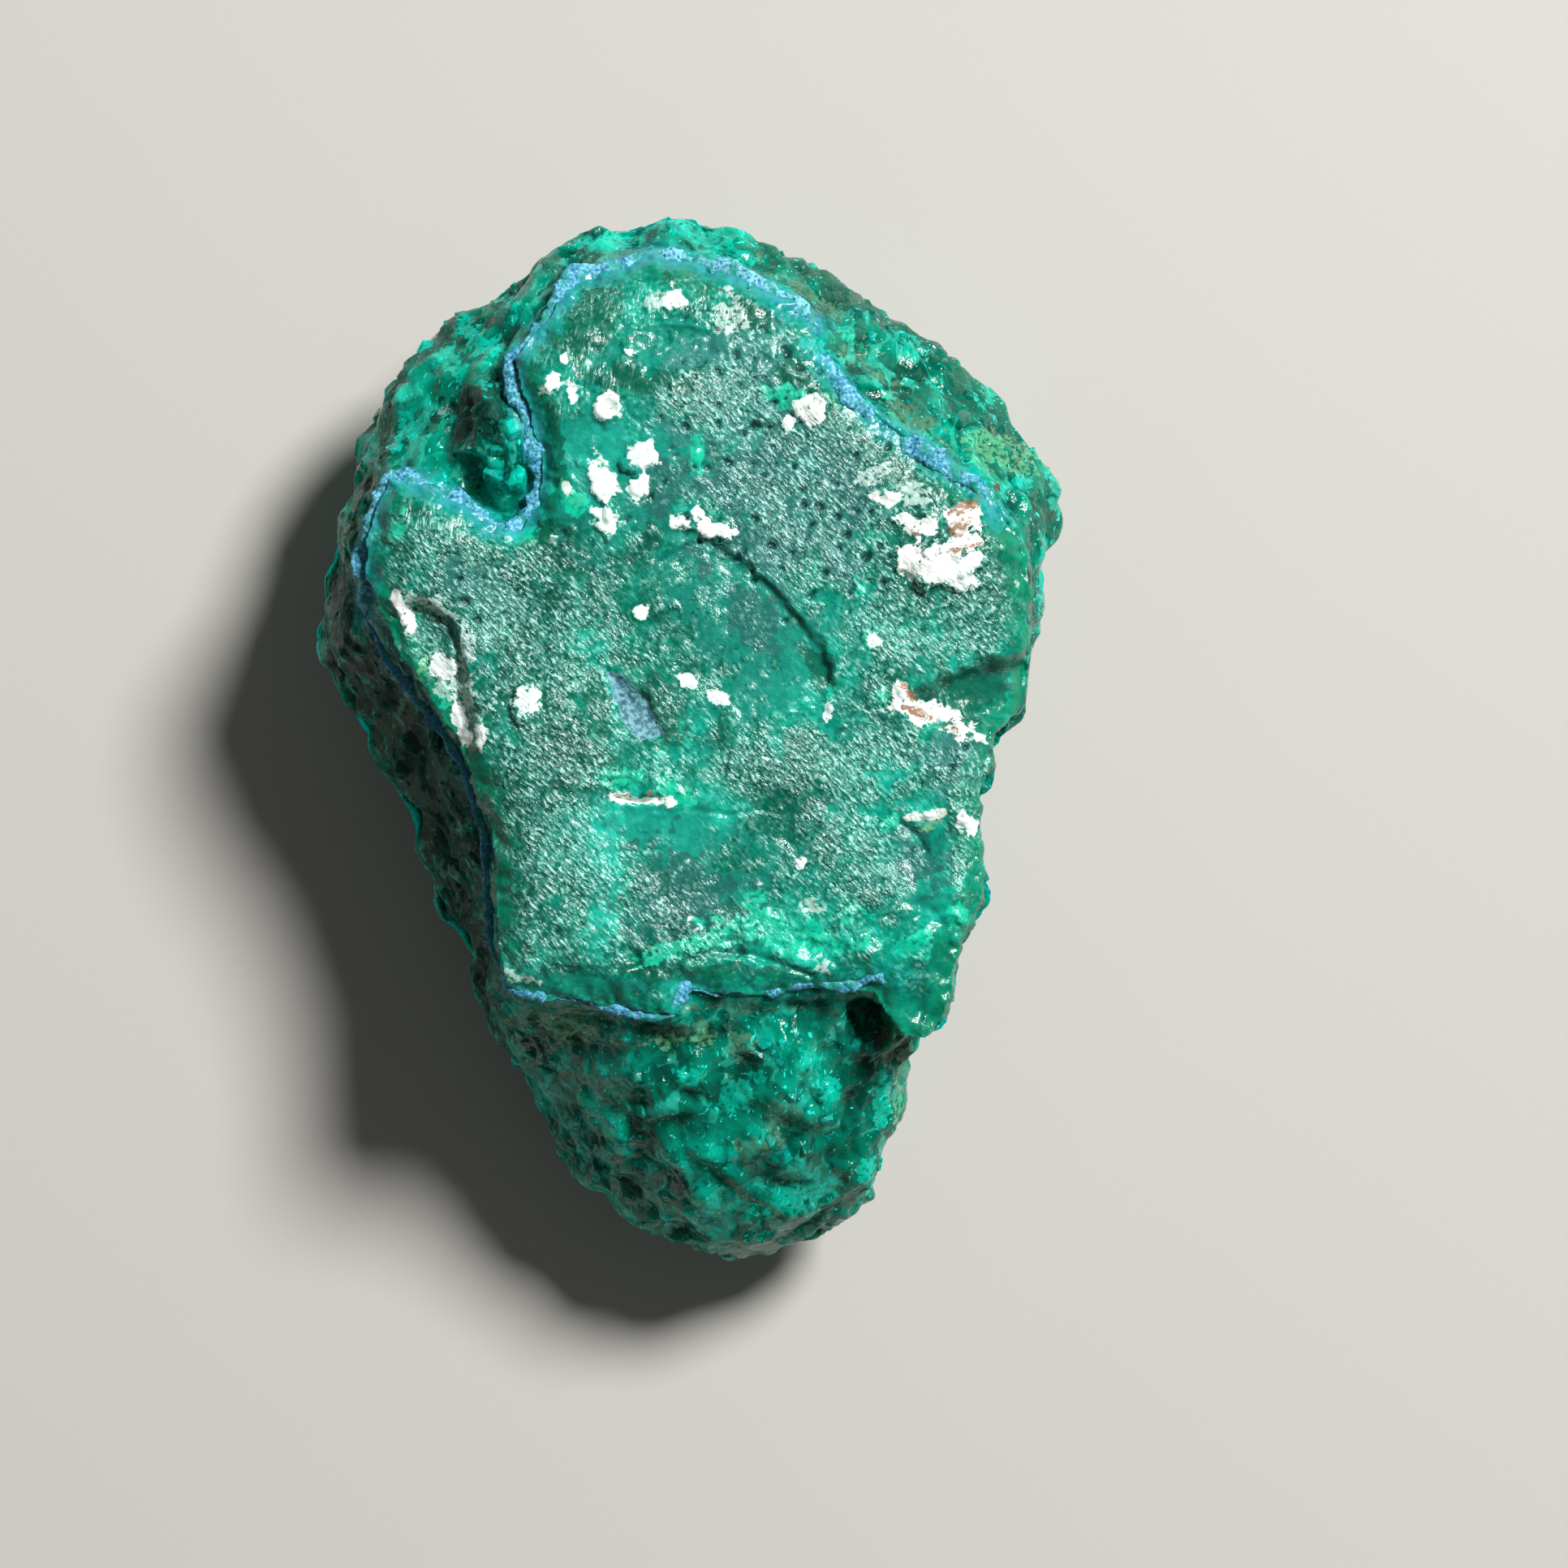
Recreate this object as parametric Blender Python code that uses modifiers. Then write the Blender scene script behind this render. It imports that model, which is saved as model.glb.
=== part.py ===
"""Dioptase specimen: a hand-sized lump of green crystals under one smooth, glassy plateau.

The stone lies on its back. The plateau faces up (+Z), its long way runs along Y, and the
underside is broken off flat at z = 0. Lengths below are in millimetres until MM turns the
finished mesh into metres.
"""

import math

import bmesh
import bpy
import numpy as np
from mathutils import Matrix, Vector

MM = 0.001
NODE = "dioptase_specimen"

# Driving heights of the stone, in millimetres above the face it rests on.
PLATEAU_HEIGHT = 13.6
BREAK_HEIGHT = 0.45
UNDERSIDE_HEIGHT = 0.6
UNDERSIDE_SAG = 1.5

# How the plateau droops towards the top, the left and the right: start, rate.
TOP_DROOP = (12.0, 0.045)
LEFT_DROOP = (5.0, 0.07)
RIGHT_DROOP = (9.0, 0.02)

# How the underside curves in from the girth: reach inwards, sharpness and steepness of the
# curve, and where its flat middle starts and ends.
UNDERSIDE_REACH = 3.2
UNDERSIDE_SHARPNESS = 0.9
UNDERSIDE_STEEPNESS = 1.6
SAG_START, SAG_END = 2.0, 9.0

# The stone's silhouette seen from above, clockwise from its top tip.
OUTLINE = (
    (-1.0, 20.8), (0.7, 20.2), (2.6, 19.6), (4.4, 19.0), (6.9, 17.7), (8.4, 16.5),
    (10.4, 15.2), (11.1, 14.4), (11.7, 13.4), (13.0, 12.1), (14.3, 10.9), (14.8, 9.9),
    (14.8, 8.8), (14.5, 7.8), (13.8, 6.3), (14.0, 5.2), (13.5, 3.4), (13.1, 0.8),
    (11.8, 0.1), (11.9, -0.8), (11.4, -2.9), (11.6, -5.8), (11.2, -7.2), (10.6, -8.5),
    (10.2, -10.2), (9.7, -11.4), (8.9, -11.7), (8.5, -12.8), (8.6, -13.5), (8.3, -15.2),
    (7.8, -16.6), (7.8, -17.9), (6.1, -19.5), (4.0, -20.4), (1.7, -20.8), (-0.2, -20.4),
    (-1.8, -19.8), (-3.1, -18.5), (-4.3, -17.9), (-5.4, -16.6), (-6.2, -14.3),
    (-8.1, -11.7), (-8.8, -10.0), (-8.9, -8.6), (-10.0, -7.2), (-10.2, -5.5),
    (-12.0, -1.6), (-13.7, 1.4), (-14.6, 3.1), (-14.9, 4.3), (-14.5, 6.8), (-13.8, 8.4),
    (-13.2, 10.2), (-13.2, 11.3), (-12.1, 14.0), (-11.1, 15.2), (-9.6, 16.5),
    (-7.6, 17.8), (-5.6, 19.0), (-4.9, 19.7), (-3.8, 20.3), (-2.6, 19.9), (-1.8, 20.1),
)

# The edge of the smooth plateau, clockwise from its top left.
PLATEAU = (
    (-4.6, 17.6), (-3.0, 18.2), (-1.4, 18.8), (1.1, 18.2), (4.0, 17.0), (5.0, 16.0),
    (4.8, 15.1), (6.5, 12.9), (9.2, 10.9), (11.8, 9.0), (12.6, 7.9), (13.1, 6.5),
    (13.1, 1.8), (12.8, 0.9), (11.8, 0.2), (11.3, -2.2), (11.2, -4.4), (11.3, -6.0),
    (10.3, -8.5), (10.1, -9.8), (9.8, -10.9), (9.2, -11.5), (8.4, -11.4), (7.8, -10.7),
    (7.3, -9.8), (4.8, -9.6), (2.2, -9.9), (0.0, -9.6), (-0.4, -10.7), (-1.4, -10.6),
    (-4.6, -10.0), (-6.0, -10.1), (-6.9, -9.5), (-7.2, -7.9), (-7.4, -3.5), (-8.9, 0.1),
    (-11.1, 3.4), (-12.3, 6.2), (-12.3, 7.8), (-11.4, 9.9), (-9.9, 9.6), (-7.5, 8.2),
    (-6.4, 7.9), (-5.4, 9.9), (-6.1, 12.8), (-6.6, 14.6), (-5.2, 16.3),
)

# Height of the widest girth of the stone, by place (x, y, height).
GIRTH_HEIGHTS = (
    (-1.0, 20.5, 8.5), (5.0, 18.5, 7.5), (11.0, 14.0, 7.0), (15.0, 9.5, 7.5),
    (13.8, 3.0, 6.5), (11.5, -5.0, 6.0), (9.5, -11.5, 7.5), (8.3, -15.0, 5.5),
    (5.0, -20.0, 4.0), (-1.0, -21.0, 3.6), (-5.0, -17.0, 4.0), (-9.0, -9.0, 4.5),
    (-11.0, -3.0, 5.0), (-14.8, 4.5, 6.0), (-13.0, 11.0, 6.5), (-10.0, 16.0, 7.0),
    (-5.0, 19.5, 8.0),
)

# How far the crystals start below the plateau along its edge, by place (x, y, drop).
EDGE_DROPS = (
    (-1.0, 19.0, 0.7), (4.0, 17.0, 0.4), (8.0, 13.0, 0.35), (12.0, 8.0, 0.5),
    (13.0, 3.0, 0.7), (11.5, -3.0, 0.8), (10.0, -10.0, 0.8), (7.5, -11.0, 0.9),
    (2.0, -11.0, 0.7), (-3.0, -11.0, 0.6), (-6.5, -10.5, 0.8), (-8.0, -5.0, 1.3),
    (-11.0, 3.0, 1.0), (-12.5, 7.0, 0.9), (-11.4, 10.0, 0.8), (-8.5, 9.3, 1.0),
    (-6.5, 8.2, 1.0), (-5.8, 11.0, 0.85), (-6.6, 14.0, 0.8), (-5.0, 17.0, 0.7),
)

# The plateau's rounded rim: how wide it is and how far it falls, the groove along its upper
# right side, by place (x, y, depth), and how the stone rounds over at its outline.
RIM_WIDTH = 1.2
RIM_FALL = 0.5
GROOVE_WIDTH = 0.8
OUTLINE_ROUNDING = 0.8
GROOVE_DEPTHS = (
    (2.0, 17.5, 0.0), (5.0, 15.0, 0.1), (8.0, 11.5, 0.2), (12.0, 8.5, 0.1), (13.0, 4.0, 0.0),
    (0.0, 0.0, 0.0), (-6.0, 12.0, 0.0),
)

# How the flank falls from that edge to the girth: 1 is straight, less is more bulging.
FLANK_BULGES = (
    (3.0, 19.0, 0.45), (10.0, 13.0, 0.40), (13.5, 8.0, 0.45), (13.0, 0.0, 0.50),
    (9.5, -11.5, 0.35), (6.0, -15.0, 0.38), (0.0, -15.0, 0.42), (-6.0, -13.0, 0.50),
    (-10.0, -4.0, 0.80), (-14.0, 4.0, 0.65), (-12.0, 12.0, 0.50), (-8.0, 16.0, 0.50),
    (-3.0, 19.5, 0.45),
)

# Rounded swells and hollows of the plateau: x, y, reach, rise.
SWELLS = (
    (10.2, 6.9, 2.1, 0.55), (10.9, -1.6, 1.6, 0.35), (-10.0, 7.3, 1.9, 0.35),
    (-5.6, -6.2, 2.6, 0.30), (-1.0, 12.2, 2.2, 0.30), (6.8, 3.4, 2.2, 0.30),
    (3.4, 10.4, 3.0, -0.30), (3.0, -7.0, 2.4, -0.35), (-6.2, 0.0, 2.6, 0.25),
    (1.2, -1.6, 2.8, 0.20), (-6.6, 4.6, 1.8, -0.25), (9.0, -4.4, 1.2, -0.35),
    (9.0, -10.8, 1.2, -0.40),
)

# Hollows with a clear edge: outline, depth, width of the wall round them.
LONG_PIT = (
    (-11.4, 5.3), (-10.4, 5.5), (-9.4, 5.1), (-8.8, 4.3), (-8.3, 1.8), (-7.8, 0.9),
    (-8.0, -0.2), (-8.6, -0.7), (-9.1, -0.1), (-10.3, 2.4), (-11.6, 4.9),
)
SMALL_WINDOW = (
    (-3.2, 2.6), (-2.5, 2.5), (-1.4, 1.2), (-0.8, 0.1), (-1.9, -0.1), (-2.5, 0.6),
)
BASIN = (
    (-1.2, 6.8), (0.2, 7.6), (1.7, 7.4), (3.6, 5.6), (5.1, 3.7), (5.9, 2.0), (5.0, 1.1),
    (2.0, 0.8), (-1.8, 4.2),
)
BASIN_LEDGE = (1.7, 7.4)
BASIN_RUN = (-0.8, -0.6)
BASIN_DEPTH, BASIN_WALL, BASIN_REACH = 0.3, 0.2, 4.6
TOP_LENS = (
    (-2.4, 15.2), (-1.4, 16.0), (-0.2, 16.1), (1.2, 15.6), (1.5, 14.6), (0.1, 14.2),
    (-2.2, 14.6),
)
HOLLOWS = ((LONG_PIT, 0.6, 0.9), (SMALL_WINDOW, 0.3, 0.3), (TOP_LENS, 0.2, 0.6))
HOLLOW_OVERLAP = 0.15

# The notch broken out of the right side: its outline, inner end, how steeply it falls
# outwards, how deep it gets, and the soft edge inside its outline.
NOTCH = (
    (8.0, 1.3), (9.5, 2.2), (11.1, 2.8), (13.4, 3.5), (16.0, 2.6), (13.4, 0.5),
    (10.9, 0.3), (8.6, 0.4),
)
NOTCH_START = 8.0
NOTCH_SLOPE = 0.35
NOTCH_DEPTH = 1.8
NOTCH_WALL = 0.5

# The block of crystals that stands up in the bay at the upper left.
WEDGE = (
    (-8.5, 14.2), (-7.7, 14.0), (-6.8, 13.1), (-6.1, 11.8), (-5.9, 10.4), (-6.2, 9.3),
    (-6.9, 8.6), (-7.7, 9.4), (-9.1, 10.9), (-8.8, 13.1),
)
WEDGE_RISE = 1.9
WEDGE_WALL = 0.8
SOFT_FOOT = 0.2

# The deep gap beside the lowest lobe of the plateau: centre, reach across and along, depth.
GAP_PLACE = (7.15, -10.8)
GAP_REACH = (0.40, 0.65)
GAP_DEPTH = 1.6

# Broken crystal faces of the flanks and the underside: size of a grain, relief.
COARSE_GRAIN, COARSE_RELIEF, COARSE_SEED = 3.4, 0.85, 11
FINE_GRAIN, FINE_RELIEF, FINE_SEED = 1.8, 0.5, 29
MEAN_RELIEF = 0.5
TIP_STEEPNESS = 1.5
LEAST_LEAN, LEAN_SPREAD = 0.4, 0.35
LOWEST_TIP, TIP_SPREAD = 0.6, 0.4
RELIEF_LIMIT = 1.2

# The crystal faces fade out under the plateau: from how far outside its edge, and from how
# far below its surface.
FADE_OUTSIDE = 0.9
FADE_BELOW = (1.6, 0.8)

# Whole crystals that stand out of the flanks: how many, their sizes, how far they stand out
# and lean, the lowest height, the gap between tips, how far they keep from the outline and
# from the plateau, and the slope of a tip's faces.
CRYSTAL_COUNT = 150
CRYSTAL_RADII = (0.5, 1.0)
CRYSTAL_LENGTHS = (1.4, 2.2)
CRYSTAL_STAND_OUT = 0.4
CRYSTAL_LEAN = 0.6
CRYSTAL_LOWEST = 1.8
CRYSTAL_HIGHEST = 12.8
CRYSTAL_GAP = 1.55
CRYSTAL_INSET = 1.0
CRYSTAL_OUTSIDE = 0.8
TIP_SLOPE = 0.75
CRYSTAL_SEED = 5

# Mesh fineness: cuts along each edge of the starting cube, how close to the outline its
# widest ring comes, the cell in which the crystals grow together with the body, and the
# triangles kept in the end.
CUBE_CUTS = 110
OUTLINE_SHARE = 0.9995
GROWTH_CELL = 0.17
STONE_TRIANGLES = 9000


def smooth_step(low, high, value):
    """Return 0 below low, 1 above high and a smooth rise between them."""
    t = np.clip((value - low) / (high - low), 0.0, 1.0)
    return t * t * (3.0 - 2.0 * t)


def edge_distance(x, y, outline):
    """Return each point's distance to a closed outline, positive inside it."""
    corners = np.array(outline)
    following = np.roll(corners, -1, axis=0)
    nearest = np.full(x.shape, np.inf)
    inside = np.zeros(x.shape, dtype=bool)
    for (ax, ay), (bx, by) in zip(corners, following):
        run_x, run_y = bx - ax, by - ay
        along = ((x - ax) * run_x + (y - ay) * run_y) / (run_x ** 2 + run_y ** 2)
        along = np.clip(along, 0.0, 1.0)
        nearest = np.minimum(nearest, np.hypot(x - ax - along * run_x, y - ay - along * run_y))
        if ay != by:
            crosses = (ay > y) != (by > y)
            inside ^= crosses & (x < ax + (y - ay) * run_x / run_y)
    return np.where(inside, nearest, -nearest)


def by_place(x, y, places):
    """Blend the third value of each place over the plan, nearer places counting more."""
    total = np.zeros_like(x)
    weights = np.zeros_like(x)
    for place_x, place_y, value in places:
        weight = 1.0 / (1.0 + (x - place_x) ** 2 + (y - place_y) ** 2) ** 2
        total += weight * value
        weights += weight
    return total / weights


def lattice_random(cells, seed):
    """Return a fixed random number from 0 to 1 for each whole-numbered cell."""
    folded = np.sin(cells @ np.array([127.1, 311.7, 74.7]) + 19.19 * seed) * 43758.5453
    return folded - np.floor(folded)


def crystal_faces(points, grain, seed):
    """Return relief from 0 to about 1 made of overlapping, flat-faced crystal tips."""
    scaled = points / grain
    low = np.floor(scaled)
    relief = np.full(len(points), -np.inf)
    for step in np.ndindex(3, 3, 3):
        cell = low + np.array(step) - 1.0
        centre = cell + np.stack([lattice_random(cell, seed + k) for k in range(3)], axis=1)
        turn = 2.0 * math.pi * lattice_random(cell, seed + 3)
        lean = LEAST_LEAN + LEAN_SPREAD * lattice_random(cell, seed + 4)
        offset = scaled - centre
        fall = np.full(len(points), -np.inf)
        for face in range(4):
            angle = turn + 0.5 * math.pi * face
            rise = np.where(face % 2, lean, -lean)
            level = np.sqrt(1.0 - rise * rise)
            reach = offset[:, 0] * level * np.cos(angle) + offset[:, 1] * level * np.sin(angle)
            fall = np.maximum(fall, reach + offset[:, 2] * rise)
        height = LOWEST_TIP + TIP_SPREAD * lattice_random(cell, seed + 5)
        relief = np.maximum(relief, height - TIP_STEEPNESS * fall)
    return np.clip(relief, 0.0, RELIEF_LIMIT)


def ledge_height(x, y):
    """Return the height of the plateau without its swells: it droops to top and left."""
    top_start, top_rate = TOP_DROOP
    left_start, left_rate = LEFT_DROOP
    droop = top_rate * np.clip(y - top_start, 0.0, None) ** 2
    droop += left_rate * np.clip(-x - left_start, 0.0, None)
    return PLATEAU_HEIGHT - droop


def plateau_height(x, y):
    """Return the height of the glassy plateau, with its swells, hollows and notch."""
    right_start, right_rate = RIGHT_DROOP
    height = ledge_height(x, y) - right_rate * np.clip(x - right_start, 0.0, None) ** 2
    for centre_x, centre_y, reach, rise in SWELLS:
        distance = ((x - centre_x) ** 2 + (y - centre_y) ** 2) / reach ** 2
        height += rise * np.exp(-distance)
    for outline, depth, wall in HOLLOWS:
        height -= depth * smooth_step(-HOLLOW_OVERLAP, wall, edge_distance(x, y, outline))
    run = (x - BASIN_LEDGE[0]) * BASIN_RUN[0] + (y - BASIN_LEDGE[1]) * BASIN_RUN[1]
    basin = BASIN_DEPTH * np.clip(1.0 - run / BASIN_REACH, 0.0, 1.0)
    height -= basin * smooth_step(-HOLLOW_OVERLAP, BASIN_WALL, edge_distance(x, y, BASIN))
    to_rim = edge_distance(x, y, PLATEAU)
    height -= RIM_FALL * np.clip(1.0 - to_rim / RIM_WIDTH, 0.0, 1.0) ** 2
    groove = np.exp(-((to_rim - GROOVE_WIDTH) / GROOVE_WIDTH) ** 2)
    height -= groove * by_place(x, y, GROOVE_DEPTHS)
    fall = np.clip(NOTCH_SLOPE * (x - NOTCH_START), 0.0, NOTCH_DEPTH)
    height -= fall * smooth_step(-SOFT_FOOT, NOTCH_WALL, edge_distance(x, y, NOTCH))
    return height


def upper_height(x, y):
    """Return the height of the upper surface at each place of the plan."""
    to_outline = np.clip(edge_distance(x, y, OUTLINE), 0.0, None)
    to_plateau = edge_distance(x, y, PLATEAU)
    beyond = np.clip(-to_plateau, 1e-6, None)
    girth = by_place(x, y, GIRTH_HEIGHTS)
    ledge = ledge_height(x, y) - by_place(x, y, EDGE_DROPS)
    rise = (to_outline / (to_outline + beyond)) ** by_place(x, y, FLANK_BULGES)
    flank = girth + (ledge - girth) * rise
    flank += WEDGE_RISE * smooth_step(-SOFT_FOOT, WEDGE_WALL, edge_distance(x, y, WEDGE))
    across = (x - GAP_PLACE[0]) / GAP_REACH[0]
    along = (y - GAP_PLACE[1]) / GAP_REACH[1]
    flank -= GAP_DEPTH * np.exp(-across ** 2 - along ** 2)
    rounded = np.sqrt(np.clip(to_outline / OUTLINE_ROUNDING, 0.0, 1.0))
    plateau = girth + (plateau_height(x, y) - girth) * rounded
    return flank + (plateau - flank) * smooth_step(-SOFT_FOOT, SOFT_FOOT, to_plateau)


def lower_height(x, y):
    """Return the height of the underside at each place of the plan."""
    to_outline = np.clip(edge_distance(x, y, OUTLINE), 0.0, None)
    inwards = (to_outline / UNDERSIDE_REACH) ** UNDERSIDE_SHARPNESS
    left = np.exp(-UNDERSIDE_STEEPNESS * inwards)
    sag = UNDERSIDE_SAG * smooth_step(SAG_START, SAG_END, to_outline)
    return by_place(x, y, GIRTH_HEIGHTS) * left + UNDERSIDE_HEIGHT - sag


def outline_reach(angles):
    """Return how far the outline lies from the origin in each direction."""
    corners = np.array(OUTLINE)
    corner_angles = np.arctan2(corners[:, 1], corners[:, 0])
    order = np.argsort(corner_angles)
    starts = corners[order]
    ends = np.roll(starts, -1, axis=0)
    side = np.searchsorted(corner_angles[order], angles) - 1
    ax, ay = starts[side].T
    run_x, run_y = (ends[side] - starts[side]).T
    return (ax * run_y - ay * run_x) / (np.cos(angles) * run_y - np.sin(angles) * run_x)


def stone_points(directions):
    """Place the points of a unit sphere on the stone, before its crystal faces."""
    angles = np.arctan2(directions[:, 1], directions[:, 0])
    plan = np.minimum(np.hypot(directions[:, 0], directions[:, 1]), 1.0)
    reach = plan * outline_reach(angles) * OUTLINE_SHARE
    x = reach * np.cos(angles)
    y = reach * np.sin(angles)
    girth = by_place(x, y, GIRTH_HEIGHTS)
    z = np.where(directions[:, 2] > 0.0, upper_height(x, y), lower_height(x, y))
    z = np.where(np.abs(directions[:, 2]) < 1e-4, girth, z)
    return np.stack([x, y, z], axis=1)


def mesh_points(mesh):
    """Return a mesh's vertex positions as an array."""
    points = np.empty(len(mesh.vertices) * 3)
    mesh.vertices.foreach_get("co", points)
    return points.reshape(-1, 3)


def outward_normals(mesh):
    """Return a mesh's vertex normals as an array."""
    normals = np.empty(len(mesh.vertices) * 3)
    mesh.vertex_normals.foreach_get("vector", normals)
    return normals.reshape(-1, 3)


def grain_relief(points):
    """Return how far the crystal faces stand out of the bare form, by place."""
    coarse = COARSE_RELIEF * (crystal_faces(points, COARSE_GRAIN, COARSE_SEED) - MEAN_RELIEF)
    fine = FINE_RELIEF * (crystal_faces(points, FINE_GRAIN, FINE_SEED) - MEAN_RELIEF)
    x, y, z = points.T
    over_plateau = smooth_step(-FADE_OUTSIDE, 0.0, edge_distance(x, y, PLATEAU))
    deepest, shallowest = FADE_BELOW
    near_top = smooth_step(-deepest, -shallowest, z - plateau_height(x, y))
    return (coarse + fine) * (1.0 - over_plateau * near_top)


def make_form(name, collection):
    """Model the body of the stone from a finely divided cube and return its object."""
    bm = bmesh.new()
    bmesh.ops.create_cube(bm, size=2.0)
    bmesh.ops.subdivide_edges(bm, edges=bm.edges, cuts=CUBE_CUTS, use_grid_fill=True)
    mesh = bpy.data.meshes.new(name)
    bm.to_mesh(mesh)
    bm.free()
    cube = mesh_points(mesh)
    spread = np.tan(cube * math.pi / 4.0)
    directions = spread / np.linalg.norm(spread, axis=1, keepdims=True)
    points = stone_points(directions)
    mesh.vertices.foreach_set("co", points.ravel())
    mesh.update()
    points += outward_normals(mesh) * grain_relief(points)[:, None]
    mesh.vertices.foreach_set("co", points.ravel())
    mesh.update()
    form = bpy.data.objects.new(name, mesh)
    collection.objects.link(form)
    return form


def apply_modifiers(form):
    """Replace a form's mesh by the one that its modifiers make."""
    depsgraph = bpy.context.evaluated_depsgraph_get()
    made = bpy.data.meshes.new_from_object(form.evaluated_get(depsgraph))
    form.modifiers.clear()
    form.data = made


def grow_together(form):
    """Turn the body and the crystals that run into it into one closed surface."""
    remesh = form.modifiers.new("grow_together", "REMESH")
    remesh.mode = "VOXEL"
    remesh.voxel_size = GROWTH_CELL
    apply_modifiers(form)


def drop_loose_bits(form):
    """Delete all but the largest connected piece of a form's mesh."""
    bm = bmesh.new()
    bm.from_mesh(form.data)
    unseen = set(bm.verts)
    pieces = []
    while unseen:
        front = [unseen.pop()]
        piece = list(front)
        while front:
            vertex = front.pop()
            ends = [edge.other_vert(vertex) for edge in vertex.link_edges]
            fresh = unseen.intersection(ends)
            unseen -= fresh
            front.extend(fresh)
            piece.extend(fresh)
        pieces.append(piece)
    pieces.sort(key=len)
    for piece in pieces[:-1]:
        bmesh.ops.delete(bm, geom=piece, context="VERTS")
    bm.to_mesh(form.data)
    bm.free()


def thin_out(form):
    """Merge faces that lie in one plane until the wanted number of triangles is left."""
    decimate = form.modifiers.new("thin_out", "DECIMATE")
    decimate.ratio = STONE_TRIANGLES / (2 * len(form.data.polygons))
    decimate.use_collapse_triangulate = True
    apply_modifiers(form)


def break_off_underside(form):
    """Cut the form off flat at the break and set the cut face down on z = 0."""
    bm = bmesh.new()
    bm.from_mesh(form.data)
    cut = bmesh.ops.bisect_plane(
        bm, geom=bm.verts[:] + bm.edges[:] + bm.faces[:], dist=1e-4,
        plane_co=(0.0, 0.0, BREAK_HEIGHT), plane_no=(0.0, 0.0, -1.0), clear_outer=True)
    rim = [item for item in cut["geom_cut"] if isinstance(item, bmesh.types.BMEdge)]
    bmesh.ops.triangle_fill(bm, edges=rim, use_beauty=True, normal=(0.0, 0.0, -1.0))
    bmesh.ops.translate(bm, verts=bm.verts, vec=(0.0, 0.0, -BREAK_HEIGHT))
    bmesh.ops.triangulate(bm, faces=[face for face in bm.faces if len(face.verts) > 3])
    bm.to_mesh(form.data)
    bm.free()


def add_crystal(bm, radius, length, placing):
    """Add a six-sided prism with a three-faced tip, its foot at the placing's origin."""
    prism = bmesh.new()
    bmesh.ops.create_cone(prism, cap_ends=True, segments=6, radius1=radius, radius2=radius,
                          depth=length, matrix=Matrix.Translation((0.0, 0.0, length / 2)))
    for face in range(3):
        angle = math.radians(30.0 + 120.0 * face)
        outward = Vector((math.cos(angle), math.sin(angle), 1.0 / TIP_SLOPE)).normalized()
        cut = bmesh.ops.bisect_plane(
            prism, geom=prism.verts[:] + prism.edges[:] + prism.faces[:], dist=1e-5,
            plane_co=(0.0, 0.0, length), plane_no=outward, clear_outer=True)
        rim = [item for item in cut["geom_cut"] if isinstance(item, bmesh.types.BMEdge)]
        bmesh.ops.holes_fill(prism, edges=rim)
    bmesh.ops.transform(prism, matrix=placing, verts=prism.verts)
    part = bpy.data.meshes.new("crystal")
    prism.to_mesh(part)
    prism.free()
    bm.from_mesh(part)
    bpy.data.meshes.remove(part)


def crystal_placings(form):
    """Pick where whole crystals stand on the flanks: radius, length, foot and axis."""
    random = np.random.default_rng(CRYSTAL_SEED)
    points = mesh_points(form.data)
    normals = outward_normals(form.data)
    to_plateau = edge_distance(points[:, 0], points[:, 1], PLATEAU)
    wanted = (to_plateau < -CRYSTAL_OUTSIDE) & (points[:, 2] > CRYSTAL_LOWEST)
    wanted &= points[:, 2] < CRYSTAL_HIGHEST
    tips = []
    placings = []
    for index in random.permutation(np.flatnonzero(wanted)):
        radius = random.uniform(*CRYSTAL_RADII)
        length = random.uniform(*CRYSTAL_LENGTHS)
        axis = normals[index] + CRYSTAL_LEAN * random.normal(size=3) / math.sqrt(3.0)
        axis /= np.linalg.norm(axis)
        tip = points[index] + axis * CRYSTAL_STAND_OUT
        room = edge_distance(tip[0:1], tip[1:2], OUTLINE)[0]
        apart = min([np.linalg.norm(tip - other) for other in tips], default=np.inf)
        if room > CRYSTAL_INSET and apart > CRYSTAL_GAP:
            tips.append(tip)
            placings.append((radius, length, tip - axis * length, axis))
        if len(placings) == CRYSTAL_COUNT:
            break
    return placings


def add_crystals(form):
    """Add the whole crystals to the form's mesh, rooted deep in the body."""
    random = np.random.default_rng(CRYSTAL_SEED + 1)
    bm = bmesh.new()
    bm.from_mesh(form.data)
    for radius, length, foot, axis in crystal_placings(form):
        turn = Vector(axis).to_track_quat("Z", "Y").to_matrix().to_4x4()
        spin = Matrix.Rotation(random.uniform(0.0, math.pi), 4, "Z")
        add_crystal(bm, radius, length, Matrix.Translation(foot) @ turn @ spin)
    bm.to_mesh(form.data)
    bm.free()


def dioptase_material():
    """Return the stone's own material: deep green, glossy mineral."""
    material = bpy.data.materials.new("dioptase")
    material.use_nodes = True
    shader = material.node_tree.nodes["Principled BSDF"]
    shader.inputs["Base Color"].default_value = (0.008, 0.16, 0.115, 1.0)
    shader.inputs["Roughness"].default_value = 0.28
    shader.inputs["Metallic"].default_value = 0.0
    return material


def main():
    """Build the specimen."""
    for item in list(bpy.data.objects):
        bpy.data.objects.remove(item, do_unlink=True)
    stone = bpy.data.collections.new(NODE)
    bpy.context.scene.collection.children.link(stone)
    form = make_form(NODE, stone)
    add_crystals(form)
    grow_together(form)
    drop_loose_bits(form)
    thin_out(form)
    break_off_underside(form)
    form.data.transform(Matrix.Scale(MM, 4))
    form.data.materials.clear()
    form.data.materials.append(dioptase_material())


main()
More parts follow.
